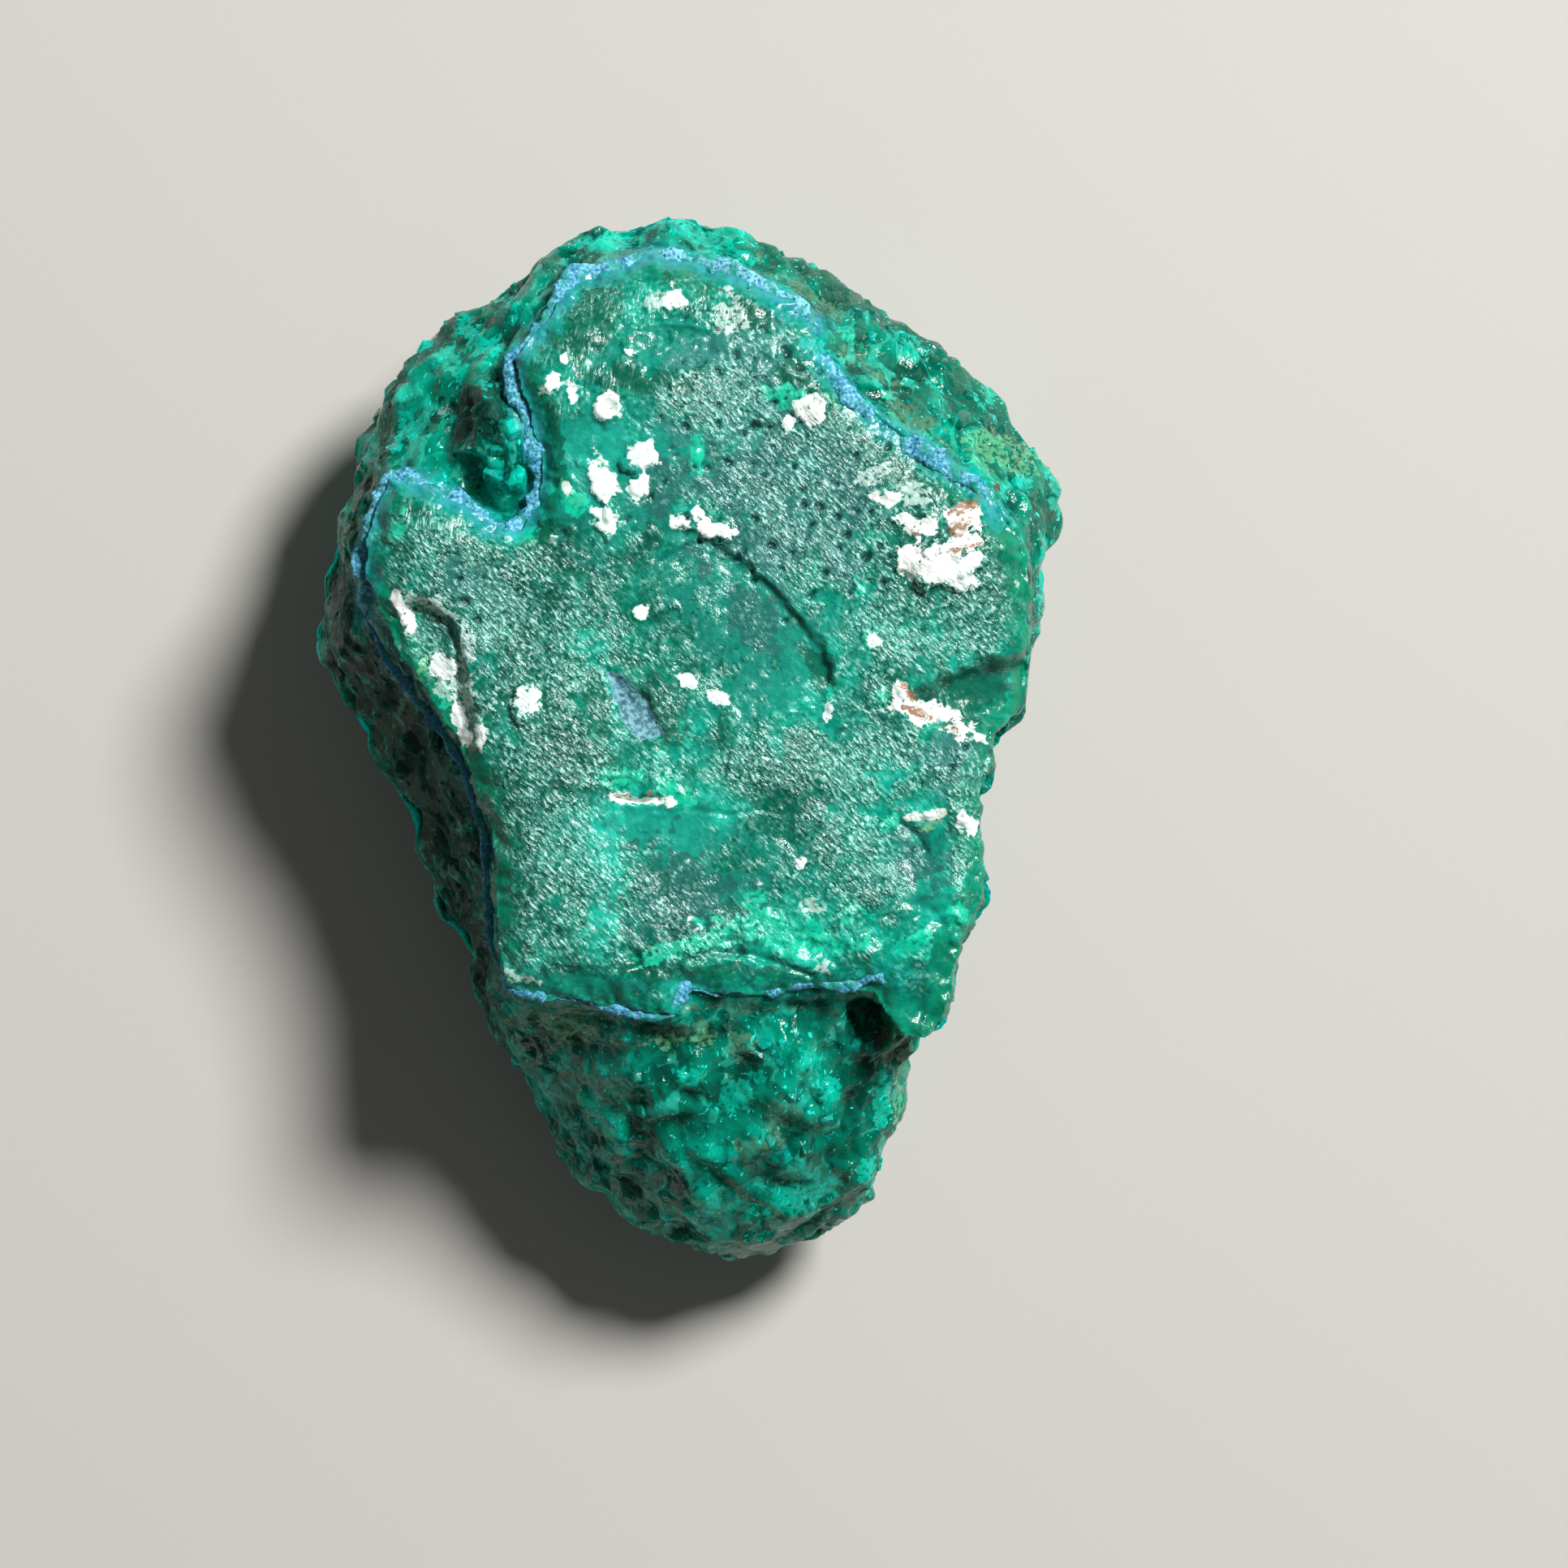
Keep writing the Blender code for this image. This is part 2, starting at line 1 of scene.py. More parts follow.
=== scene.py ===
"""Looks of the dioptase specimen: crystals, the glassy plateau, its blue seam and crusts.

The stone lies on its broken back with the plateau facing up. Lengths are in millimetres until
a mesh is finished; MM then turns it into metres. The plan (x, y) is the view from above.
"""

import logging
import math
from dataclasses import dataclass
from enum import Enum

import bmesh
import bpy
import numpy as np
from mathutils import Matrix, Vector


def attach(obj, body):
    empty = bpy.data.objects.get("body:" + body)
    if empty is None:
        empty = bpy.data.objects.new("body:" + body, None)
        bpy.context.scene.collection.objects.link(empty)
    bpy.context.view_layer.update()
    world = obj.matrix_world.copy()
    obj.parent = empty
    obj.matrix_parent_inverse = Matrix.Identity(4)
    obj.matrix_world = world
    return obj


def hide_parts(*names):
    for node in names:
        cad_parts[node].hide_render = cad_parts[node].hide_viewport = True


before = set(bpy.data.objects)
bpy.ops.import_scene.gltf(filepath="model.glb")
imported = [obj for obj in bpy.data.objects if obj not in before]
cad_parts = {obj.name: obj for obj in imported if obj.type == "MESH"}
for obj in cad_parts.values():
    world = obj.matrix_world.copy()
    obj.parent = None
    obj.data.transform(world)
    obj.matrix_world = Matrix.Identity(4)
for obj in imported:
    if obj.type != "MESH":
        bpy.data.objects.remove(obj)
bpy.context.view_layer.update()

LOG = logging.getLogger("dioptase")
MM = 0.001
NODE = "dioptase_specimen"
BODY = "root"

# Corners on the plan, values by place, ellipses, and waves of noise: height, length, seed.
Points = tuple[tuple[float, float], ...]
Places = tuple[tuple[float, float, float], ...]
Patches = tuple[tuple[float, float, float, float, float], ...]
Waves = tuple[tuple[float, float, int], ...]

# A ramp's stops, layers of patches (mask, colour, cover) and a coat (colour, start, full, cover).
Stops = tuple[tuple[float, str], ...]
Layers = tuple[tuple[str, str, float], ...]
Coat = tuple[str, float, float, float]
Source = bpy.types.Node | bpy.types.NodeSocket

# Settings of nodes that are used again and again.
PRODUCT = {"operation": "MULTIPLY"}
PLUS_PRODUCT = {"operation": "MULTIPLY_ADD"}
COLOURS = {"data_type": "RGBA"}
SMOOTH = {"interpolation_type": "SMOOTHSTEP"}
TURNED = {"vector_type": "TEXTURE"}

# Dioptase bends light this much, and spreads little of its red.
DIOPTASE_IOR = 1.66
LIGHT_SPREAD = (0.1, 1.0, 0.8)
# How strongly fine noise crumbles the edges of patches of colour, and between which sums of
# mask and noise a patch's colour comes in.
CRUMBLING = 1.8
CRUMBLED = (1.3, 1.6)


# ---------------------------------------------------------------- the stone's plan and heights

PLATEAU_HEIGHT = 13.6
BREAK_HEIGHT = 0.45
FLAT = np.array([1.0, 1.0, 0.0])

# The silhouette from above, clockwise from the top tip.
OUTLINE: Points = (
    (-1.0, 20.8), (0.7, 20.2), (2.6, 19.6), (4.4, 19.0), (6.9, 17.7), (8.4, 16.5),
    (10.4, 15.2), (11.1, 14.4), (11.7, 13.4), (13.0, 12.1), (14.3, 10.9), (14.8, 9.9),
    (14.8, 8.8), (14.5, 7.8), (13.8, 6.3), (14.0, 5.2), (13.5, 3.4), (13.1, 0.8),
    (11.8, 0.1), (11.9, -0.8), (11.4, -2.9), (11.6, -5.8), (11.2, -7.2), (10.6, -8.5),
    (10.2, -10.2), (9.7, -11.4), (8.9, -11.7), (8.5, -12.8), (8.6, -13.5), (8.3, -15.2),
    (7.8, -16.6), (7.8, -17.9), (6.1, -19.5), (4.0, -20.4), (1.7, -20.8), (-0.2, -20.4),
    (-1.8, -19.8), (-3.1, -18.5), (-4.3, -17.9), (-5.4, -16.6), (-6.2, -14.3),
    (-8.1, -11.7), (-8.8, -10.0), (-8.9, -8.6), (-10.0, -7.2), (-10.2, -5.5),
    (-12.0, -1.6), (-13.7, 1.4), (-14.6, 3.1), (-14.9, 4.3), (-14.5, 6.8), (-13.8, 8.4),
    (-13.2, 10.2), (-13.2, 11.3), (-12.1, 14.0), (-11.1, 15.2), (-9.6, 16.5),
    (-7.6, 17.8), (-5.6, 19.0), (-4.9, 19.7), (-3.8, 20.3), (-2.6, 19.9), (-1.8, 20.1),
)

# The edge of the glassy plateau, clockwise from its top left.
PLATEAU: Points = (
    (-4.6, 17.6), (-3.0, 18.2), (-1.4, 18.8), (1.1, 18.2), (4.0, 17.0), (5.0, 16.0),
    (4.8, 15.1), (6.5, 12.9), (9.2, 10.9), (11.8, 9.0), (12.6, 7.9), (13.1, 6.5),
    (13.1, 1.8), (12.8, 0.9), (11.8, 0.2), (11.3, -2.2), (11.2, -4.4), (11.3, -6.0),
    (10.3, -8.5), (10.1, -9.8), (9.8, -10.9), (9.2, -11.5), (8.4, -11.4), (7.8, -10.7),
    (7.3, -9.8), (4.8, -9.6), (2.2, -9.9), (0.0, -9.6), (-0.4, -10.7), (-1.4, -10.6),
    (-4.6, -10.0), (-6.0, -10.1), (-6.9, -9.5), (-7.2, -7.9), (-7.4, -3.5), (-8.9, 0.1),
    (-11.1, 3.4), (-12.3, 6.2), (-12.3, 7.8), (-11.4, 9.9), (-9.9, 9.6), (-7.5, 8.2),
    (-6.4, 7.9), (-5.4, 9.9), (-6.1, 12.8), (-6.6, 14.6), (-5.2, 16.3),
)

# Height of the stone's girth, by place (x, y, height).
GIRTH_HEIGHTS: Places = (
    (-1.0, 20.5, 8.5), (5.0, 18.5, 7.5), (11.0, 14.0, 7.0), (15.0, 9.5, 7.5),
    (13.8, 3.0, 6.5), (11.5, -5.0, 6.0), (9.5, -11.5, 7.5), (8.3, -15.0, 5.5),
    (5.0, -20.0, 4.0), (-1.0, -21.0, 3.6), (-5.0, -17.0, 4.0), (-9.0, -9.0, 4.5),
    (-11.0, -3.0, 5.0), (-14.8, 4.5, 6.0), (-13.0, 11.0, 6.5), (-10.0, 16.0, 7.0),
    (-5.0, 19.5, 8.0),
)

# How far the crystals start below the plateau along its edge, by place (x, y, drop).
EDGE_DROPS: Places = (
    (-1.0, 19.0, 0.7), (4.0, 17.0, 0.4), (8.0, 13.0, 0.35), (12.0, 8.0, 0.5),
    (13.0, 3.0, 0.7), (11.5, -3.0, 0.8), (10.0, -10.0, 0.8), (7.5, -11.0, 0.9),
    (2.0, -11.0, 0.7), (-3.0, -11.0, 0.6), (-6.5, -10.5, 0.8), (-8.0, -5.0, 1.3),
    (-11.0, 3.0, 1.0), (-12.5, 7.0, 0.9), (-11.4, 10.0, 0.8), (-8.5, 9.3, 1.0),
    (-6.5, 8.2, 1.0), (-5.8, 11.0, 0.85), (-6.6, 14.0, 0.8), (-5.0, 17.0, 0.7),
)
# How deep the groove inside the plateau's edge is, by place.
GROOVE_DEPTHS: Places = (
    (2.0, 17.5, 0.0), (5.0, 15.0, 0.1), (8.0, 11.5, 0.2), (12.0, 8.5, 0.1), (13.0, 4.0, 0.0),
    (0.0, 0.0, 0.0), (-6.0, 12.0, 0.0),
)
# How the flank falls to the girth: 1 is straight, less is more bulging.
FLANK_BULGES: Places = (
    (3.0, 19.0, 0.45), (10.0, 13.0, 0.40), (13.5, 8.0, 0.45), (13.0, 0.0, 0.50),
    (9.5, -11.5, 0.35), (6.0, -15.0, 0.38), (0.0, -15.0, 0.42), (-6.0, -13.0, 0.50),
    (-10.0, -4.0, 0.80), (-14.0, 4.0, 0.65), (-12.0, 12.0, 0.50), (-8.0, 16.0, 0.50),
    (-3.0, 19.5, 0.45),
)
# Rounded swells and dips of the plateau: x, y, reach, rise.
SWELLS = (
    (10.2, 6.9, 2.1, 0.55), (10.9, -1.6, 1.6, 0.35), (-10.0, 7.3, 1.9, 0.35),
    (-5.6, -6.2, 2.6, 0.30), (-1.0, 12.2, 2.2, 0.30), (6.8, 3.4, 2.2, 0.30),
    (3.4, 10.4, 3.0, -0.30), (3.0, -7.0, 2.4, -0.35), (-6.2, 0.0, 2.6, 0.25),
    (1.2, -1.6, 2.8, 0.20), (-6.6, 4.6, 1.8, -0.25), (9.0, -4.4, 1.2, -0.35),
    (9.0, -10.8, 1.2, -0.40),
)
LONG_PIT: Points = (
    (-11.4, 5.3), (-10.4, 5.5), (-9.4, 5.1), (-8.8, 4.3), (-8.3, 1.8), (-7.8, 0.9),
    (-8.0, -0.2), (-8.6, -0.7), (-9.1, -0.1), (-10.3, 2.4), (-11.6, 4.9),
)
SMALL_WINDOW: Points = (
    (-3.2, 2.6), (-2.5, 2.5), (-1.4, 1.2), (-0.8, 0.1), (-1.9, -0.1), (-2.5, 0.6),
)
TOP_LENS: Points = (
    (-2.4, 15.2), (-1.4, 16.0), (-0.2, 16.1), (1.2, 15.6), (1.5, 14.6), (0.1, 14.2),
    (-2.2, 14.6),
)
# Flat-bottomed hollows: outline, depth, width of the wall.
HOLLOWS = ((LONG_PIT, 0.6, 0.9), (SMALL_WINDOW, 0.3, 0.3), (TOP_LENS, 0.2, 0.6))
BASIN: Points = (
    (-1.2, 6.8), (0.2, 7.6), (1.7, 7.4), (3.6, 5.6), (5.1, 3.7), (5.9, 2.0), (5.0, 1.1),
    (2.0, 0.8), (-1.8, 4.2),
)
NOTCH: Points = (
    (8.0, 1.3), (9.5, 2.2), (11.1, 2.8), (13.4, 3.5), (16.0, 2.6), (13.4, 0.5),
    (10.9, 0.3), (8.6, 0.4),
)
WEDGE: Points = (
    (-8.5, 14.2), (-7.7, 14.0), (-6.8, 13.1), (-6.1, 11.8), (-5.9, 10.4), (-6.2, 9.3),
    (-6.9, 8.6), (-7.7, 9.4), (-9.1, 10.9), (-8.8, 13.1),
)

# Crystal faces of the flanks: size of a grain, relief, seed. The first two carry the form.
GRAINS = ((3.4, 0.85, 11), (1.8, 0.5, 29), (0.95, 0.11, 47), (0.5, 0.04, 61))
MEAN_RELIEF, RELIEF_LIMIT = 0.5, 1.2
TIP_FACES, TIP_STEEPNESS, LEAST_TIP = 4, 1.5, 0.6
LEAST_LEAN, LEAN_SPREAD = 0.4, 0.35

# ---------------------------------------------------------------- patches of colour and finish
# Each patch is an ellipse on the plan: x, y, half length, half width, turn in degrees.
# It is torn at the edge and fades there; past its reach it isn't looked for.
TORN_EDGE: Waves = ((0.75, 0.7, 81), (0.55, 0.28, 82))
PATCH_FADE, PATCH_REACH = (1.6, 0.6), 2.2

# Turquoise patches, painted glow of light shining through the crystal; the streak at (-7.5, 10.3)
# lightens the shaded bay beside the wedge as painted light.
BRIGHT: Patches = (
    (-11.3, 8.1, 0.4, 0.7, 0), (0.4, 10.9, 0.25, 0.8, 0), (1.2, 8.6, 0.3, 0.25, 0),
    (-6.4, 7.8, 0.6, 0.3, 0), (-4.6, 9.3, 0.8, 0.5, -30), (4.0, 13.1, 0.9, 0.4, -20),
    (6.7, 5.9, 0.2, 0.4, 0), (7.1, 3.7, 0.25, 0.3, 0), (5.6, 1.8, 0.2, 0.7, -15),
    (-9.4, 1.5, 0.3, 0.5, 0), (7.5, 1.5, 0.25, 0.4, 0), (-2.4, -1.6, 1.1, 0.4, 0),
    (-0.5, -2.1, 0.9, 0.4, -10), (7.8, -3.3, 0.4, 0.25, 30), (8.6, -7.9, 0.8, 0.6, 0),
    (3.6, -7.2, 2.8, 0.5, 5), (0.4, -8.0, 1.9, 0.4, 12), (4.8, -8.0, 1.6, 0.6, 0),
    (2.3, -6.3, 0.5, 0.4, 0), (6.7, -8.0, 0.6, 0.4, 0), (10.4, -6.9, 0.4, 0.4, 0),
    (-0.5, 20.2, 1.4, 0.6, -30), (1.2, 19.2, 1.2, 0.35, -30), (-7.5, 14.9, 0.5, 0.4, 0),
    (-9.6, 14.9, 0.4, 0.4, 0), (-12.4, 7.9, 0.4, 0.8, 20), (6.1, 15.6, 0.4, 0.4, 0),
    (8.7, 14.9, 0.5, 0.2, -50), (9.5, 13.7, 0.6, 0.18, -50), (13.1, 9.9, 0.35, 0.3, 0),
    (14.5, 9.6, 0.3, 0.8, 0), (13.9, 6.5, 0.3, 1.2, 0), (13.9, 4.0, 0.3, 0.9, 0),
    (-7.7, 9.2, 1.4, 0.3, -40), (-4.9, -12.6, 0.5, 0.4, 0), (0.1, -13.2, 0.6, 0.4, 0),
    (2.9, -13.2, 0.5, 0.4, 0), (4.8, -12.6, 0.5, 0.35, 0), (7.6, -14.6, 0.3, 1.2, 0),
    (-3.6, 19.3, 1.1, 0.4, 10), (5.1, 14.9, 0.9, 0.3, -40), (7.3, 13.7, 1.2, 0.2, -45),
    (-8.3, 15.7, 1.2, 0.5, -40), (-10.9, 12.2, 0.5, 0.9, -30), (-6.9, 16.9, 0.8, 0.4, -40),
    (-12.3, 11.2, 0.3, 0.9, -10), (1.2, -18.9, 2.0, 0.7, 5), (4.6, -17.6, 1.4, 0.6, 20),
    (-7.5, 10.3, 1.4, 0.35, -55), (-8.4, 13.9, 1.0, 0.3, -30), (8.8, 15.2, 0.6, 0.3, -50),
    (-3.2, -15.0, 1.2, 0.5, -50), (-1.2, -16.6, 0.8, 0.5, 0), (2.0, -14.0, 0.9, 0.5, 30),
    (-6.6, -12.2, 0.5, 0.3, -50), (-5.6, -14.2, 0.9, 0.5, -60), (-4.0, -16.3, 0.8, 0.5, -50),
    (5.6, -13.6, 0.6, 0.4, 0), (7.0, -16.9, 0.3, 0.8, 0),
)
# Deep green crystal; several patches are painted shade: on the left flank, in the groove inside
# the plateau's upper right edge, in the notch and in the gap under the lower lobe.
DEEP: Patches = (
    (-5.4, 11.8, 2.3, 0.5, -74), (-5.7, 7.8, 0.7, 0.6, 0), (-3.9, 16.2, 1.4, 1.7, 0),
    (2.0, 16.5, 1.2, 0.5, -20), (4.2, 14.3, 0.6, 0.9, 0), (5.8, 12.4, 1.4, 0.7, -45),
    (7.9, 10.6, 1.9, 0.6, -35), (10.1, 9.6, 1.2, 0.4, -20), (-0.8, 13.7, 1.2, 0.4, -5),
    (5.2, 2.6, 0.4, 0.8, 30), (10.9, 1.8, 2.4, 0.9, 5), (1.7, -9.1, 3.4, 0.35, -3),
    (-3.4, 1.5, 0.5, 1.3, 15), (-0.8, 1.2, 0.55, 1.2, 30), (-2.2, 3.0, 0.9, 0.35, -10),
    (12.2, 6.4, 0.6, 2.0, 10),
    (0.1, 18.2, 1.6, 0.4, -10), (-8.0, 12.8, 0.9, 1.6, -60),
    (-10.6, -1.0, 2.0, 5.5, 28), (-9.0, -7.5, 1.2, 3.0, 12), (7.1, -10.8, 0.3, 0.5, 0),
    (8.3, -12.2, 0.4, 0.4, 0), (-13.3, 5.6, 0.9, 2.0, 0),
)
# White crust, partly painted glare: some of the white, such as on the knob by (10, 7), stands for
# light reflected off glossy faces.
PALE: Patches = (
    (-10.9, 4.7, 0.7, 0.25, -60), (9.8, 7.0, 1.2, 0.7, 0), (10.5, 8.5, 1.0, 0.5, 25),
    (9.2, 8.0, 0.9, 0.6, 30), (8.5, 7.0, 0.5, 0.4, 0),
    (9.2, 0.9, 1.4, 0.4, -20), (8.2, 1.5, 0.4, 0.5, 0), (-1.9, -2.4, 1.0, 0.2, -5),
    (1.1, 8.1, 0.9, 0.3, -10), (-0.2, 8.4, 0.4, 0.35, 0), (-0.5, 17.0, 0.4, 0.4, 0),
    (9.3, -3.0, 0.9, 0.2, 10), (10.8, -3.2, 0.3, 0.4, 0), (9.0, 8.1, 0.9, 0.4, 20),
    (7.8, 9.3, 0.5, 0.3, 0), (4.8, 12.6, 0.5, 0.5, 0), (-3.0, 12.7, 0.4, 0.45, 0),
)
BROWN: Patches = (
    (10.9, 9.0, 0.9, 0.3, 25), (10.3, 8.1, 0.6, 0.3, 35), (-1.8, -2.2, 0.6, 0.12, 5),
    (1.7, 8.3, 0.3, 0.12, 0), (9.2, 0.8, 0.9, 0.15, -25), (8.6, 1.7, 0.4, 0.2, -40),
    (8.9, 7.8, 0.45, 0.16, 0), (10.4, 7.2, 0.7, 0.1, 12),
    (7.5, -11.8, 0.3, 0.4, 0),
)
OLIVE: Patches = (
    (4.8, 17.1, 1.9, 0.4, -35), (7.0, 14.3, 2.2, 0.5, -45), (8.6, 12.4, 1.6, 0.6, -45),
    (9.8, 10.9, 0.9, 0.5, -35), (-4.6, -11.1, 2.5, 0.6, -3), (-0.5, -11.5, 1.6, 0.5, 0),
    (1.7, -10.4, 1.9, 0.3, 0), (-4.6, -13.2, 0.5, 0.3, -40), (2.0, -11.9, 0.6, 0.9, 0),
    (3.4, -14.8, 1.0, 0.6, 30), (2.6, -15.8, 0.9, 0.4, 0), (7.9, -11.9, 0.4, 0.6, 0),
    (-3.5, 18.5, 0.9, 0.4, 10),
)
# Lime-green crystal; the strips at (-4.4, -11.2) and (-0.4, -11.7) are painted light on flank that
# the plateau's lower edge shades.
LIME: Patches = (
    (9.3, -3.2, 0.7, 0.5, 0), (12.3, 10.9, 1.6, 0.8, -20), (11.1, 11.5, 0.9, 0.6, 0),
    (13.9, 10.9, 0.6, 0.4, -45), (-4.6, 9.5, 0.7, 0.35, -35), (-10.2, 2.8, 0.2, 0.4, 0),
    (-4.4, -11.2, 2.2, 0.45, -3), (-0.4, -11.7, 1.2, 0.4, 0), (8.2, -14.3, 0.2, 1.1, -8),
    (8.1, -16.6, 0.2, 0.6, 0), (-10.9, 1.6, 0.15, 1.2, -28),
)
# Clear emerald crystal, darker than the rest of the flank.
EMERALD: Patches = (
    (9.6, 15.0, 3.0, 0.9, -45), (12.7, 11.7, 1.7, 1.0, -45), (14.0, 8.4, 0.8, 1.8, 0),
    (5.6, 17.7, 2.6, 0.8, -28), (13.6, 4.9, 0.5, 1.6, 0), (11.6, -1.6, 0.5, 1.6, 0),
    (11.0, -7.2, 0.5, 1.4, 15), (7.9, -15.6, 0.7, 2.2, 0),
)
# Grey-white crust, thin enough to let some green through; the grey at (-5.2, 13.7) and (-4.4,
# 13.3) stands for a glint, as a painted highlight.
GREY: Patches = (
    (-8.5, 1.9, 0.35, 1.6, 8), (-8.0, 0.3, 0.25, 0.7, 10), (-9.5, 4.9, 0.8, 0.2, -25),
    (-10.5, 5.3, 0.8, 0.15, -5), (-8.4, 3.4, 0.2, 1.0, 12), (-5.2, 13.7, 0.4, 0.45, 0),
    (-4.4, 13.3, 0.28, 0.45, 20), (-0.9, 16.9, 0.6, 0.4, 0),
    (1.5, 16.4, 0.8, 0.7, -30), (8.8, 9.2, 1.0, 0.4, -20), (7.2, 10.2, 0.6, 0.4, 0),
    (-9.3, 1.9, 0.5, 0.6, 0), (5.4, -8.8, 0.3, 0.3, 0), (-6.3, -9.3, 0.5, 0.2, -20),
    (4.8, -6.6, 0.6, 0.3, -20),
)
# Greyer, darker crystal seen through the skin.
DUSKY: Patches = (
    (-0.2, -6.2, 2.0, 1.7, 0), (3.2, 9.0, 2.6, 2.4, 0), (6.2, 10.6, 1.6, 1.2, -40),
    (-0.6, 9.6, 1.3, 0.8, 0), (9.0, -4.6, 1.2, 1.3, 0), (2.4, 4.6, 1.4, 0.8, -50),
    (-8.8, 3.0, 0.5, 1.6, 20), (-6.0, -9.5, 0.5, 0.3, 0), (1.2, -6.9, 1.6, 1.0, -20),
)
# Where the skin is swollen into small translucent lumps.
LUMPY: Patches = (
    (3.6, -8.6, 5.6, 1.2, 0), (8.6, -9.8, 1.7, 1.8, 0), (-3.2, -9.4, 3.4, 0.5, 0),
    (8.7, -7.6, 1.2, 0.8, 0), (-2.4, -2.0, 1.4, 0.6, 0), (-6.0, 8.4, 1.2, 0.8, 0),
    (4.6, 13.4, 1.4, 0.9, -40),
)
# Where the skin is smooth, with hardly a ripple.
CALM: Patches = (
    (-2.4, 10.3, 3.2, 2.6, 0), (-0.4, 15.0, 1.6, 0.9, 0),
    (2.7, 4.6, 3.6, 2.2, -50), (2.6, 1.6, 2.0, 1.0, 0), (-0.6, -3.8, 3.0, 1.0, 0),
    (8.9, -4.8, 1.3, 1.5, 0), (1.6, -5.8, 1.6, 1.0, 0), (10.9, 1.8, 2.4, 1.0, 5),
    (-3.2, -9.6, 3.4, 0.4, 0),
)
# Where fibres run down the skin instead of slanting crests.
FIBROUS: Patches = (
    (-4.2, 14.9, 1.9, 2.4, 0), (-1.6, 16.8, 3.0, 0.9, 0), (1.6, 16.8, 1.8, 0.7, -25),
    (-6.0, 8.7, 1.4, 0.7, 0), (-9.4, 8.6, 2.0, 0.6, -10),
)
# Where the skin is full of small pits.
PITTED: Patches = (
    (4.0, 10.9, 4.0, 3.0, 0), (2.9, 14.3, 2.8, 1.6, 0), (4.8, 8.4, 2.8, 2.3, 0),
    (10.4, -0.8, 1.1, 1.2, 0), (-7.9, 5.6, 1.6, 1.0, -30),
)
# Small faces of the skin that tip towards the light; their pale colour is a painted highlight.
GLINTS: Patches = (
    (-3.2, 9.8, 0.5, 0.9, 20), (-1.8, 10.9, 0.5, 0.6, -30), (-3.2, 8.4, 0.4, 0.5, 30),
    (-1.8, 9.6, 0.4, 0.5, 0), (-6.1, 1.4, 0.6, 0.5, 0), (-9.4, 2.8, 0.45, 0.45, 0),
    (0.1, 2.2, 0.25, 0.4, 30), (1.1, 1.6, 0.4, 0.18, -30), (-1.8, 4.8, 0.25, 0.3, 20),
    (0.4, 8.7, 0.25, 0.5, 10), (1.2, 8.0, 0.8, 0.2, -12), (-5.2, 13.8, 0.3, 0.3, 0),
    (-4.4, 13.2, 0.2, 0.38, 20), (-4.7, 14.6, 0.22, 0.22, 0),
    (-0.5, 16.9, 0.45, 0.35, 0),
    (-8.6, 0.4, 0.3, 0.8, 20), (7.2, 3.7, 0.2, 0.2, 0), (-3.2, 12.6, 0.28, 0.5, 0),
    (-2.2, 14.8, 0.25, 0.15, -20), (8.6, 6.8, 0.45, 0.7, 15), (10.1, 6.3, 0.9, 0.45, -10),
    (10.9, 6.8, 0.45, 0.45, 0), (8.3, 8.4, 0.35, 0.2, 0), (10.8, -3.1, 0.28, 0.45, 0),
    (4.0, 12.1, 0.2, 0.25, 0), (5.5, 1.2, 0.15, 0.4, -10), (4.4, -4.9, 0.2, 0.2, 0),
    (-4.6, 9.6, 0.2, 0.3, 0), (7.8, 9.1, 0.3, 0.22, 0), (-8.0, 0.1, 0.2, 0.6, 10),
)
# Cracks and ridges of the skin: route, half width, rise.
CRACKS: tuple[tuple[Points, float, float], ...] = (
    (((0.1, -8.6), (1.1, -8.3), (2.5, -8.4), (3.7, -8.8), (4.8, -9.2)), 0.13, -0.22),
    (((0.3, -2.8), (1.7, -3.0), (2.8, -2.8), (3.7, -3.0)), 0.07, -0.09),
    (((3.6, -3.8), (4.0, -4.1), (4.3, -4.7)), 0.08, -0.10),
    (((-4.6, 13.4), (-3.5, 13.6), (-2.6, 13.1), (-2.2, 12.4), (-1.4, 11.8)), 0.09, -0.10),
    (((-1.8, 15.8), (-1.0, 16.0), (0.1, 15.9), (1.1, 15.6)), 0.08, 0.10),
    (((8.2, -3.3), (8.9, -3.8), (9.2, -4.4)), 0.14, -0.20),
    (((-2.8, -2.3), (-1.9, -2.5), (-1.1, -2.4)), 0.10, -0.30),
    (((-3.3, 2.8), (-4.6, 2.9), (-5.5, 3.4)), 0.08, -0.07),
    (((-10.9, 5.0), (-10.0, 4.9), (-9.2, 4.35), (-8.85, 3.3), (-8.7, 2.2)), 0.16, -0.25),
)

# Where a frost of tiny crystals covers the skin most thickly.
FROSTED: Patches = (
    (-7.0, 4.6, 3.4, 3.0, -50), (-5.2, -4.0, 2.2, 4.6, 5), (-1.0, -7.2, 2.6, 1.6, -10),
    (5.0, 9.6, 3.6, 3.0, -30), (7.6, 3.6, 1.6, 3.2, 0), (6.2, -1.2, 3.6, 2.0, 0),
    (6.6, -4.6, 1.8, 2.2, 0), (10.9, -3.0, 0.8, 3.4, 0), (11.4, 4.6, 1.4, 1.6, 0),
    (1.2, 12.8, 2.2, 1.4, -20), (-10.2, 7.2, 1.8, 1.4, -10), (-9.5, 2.4, 3.0, 0.7, -60),
)

# The stone is stained beside the blue seam, most in a narrow core; both fade with distance.
STAIN_FADE, STAIN_WANDER = (1.0, 0.2), 0.25
CORE_FADE, CORE_SHARE = (0.55, 0.10), 0.7

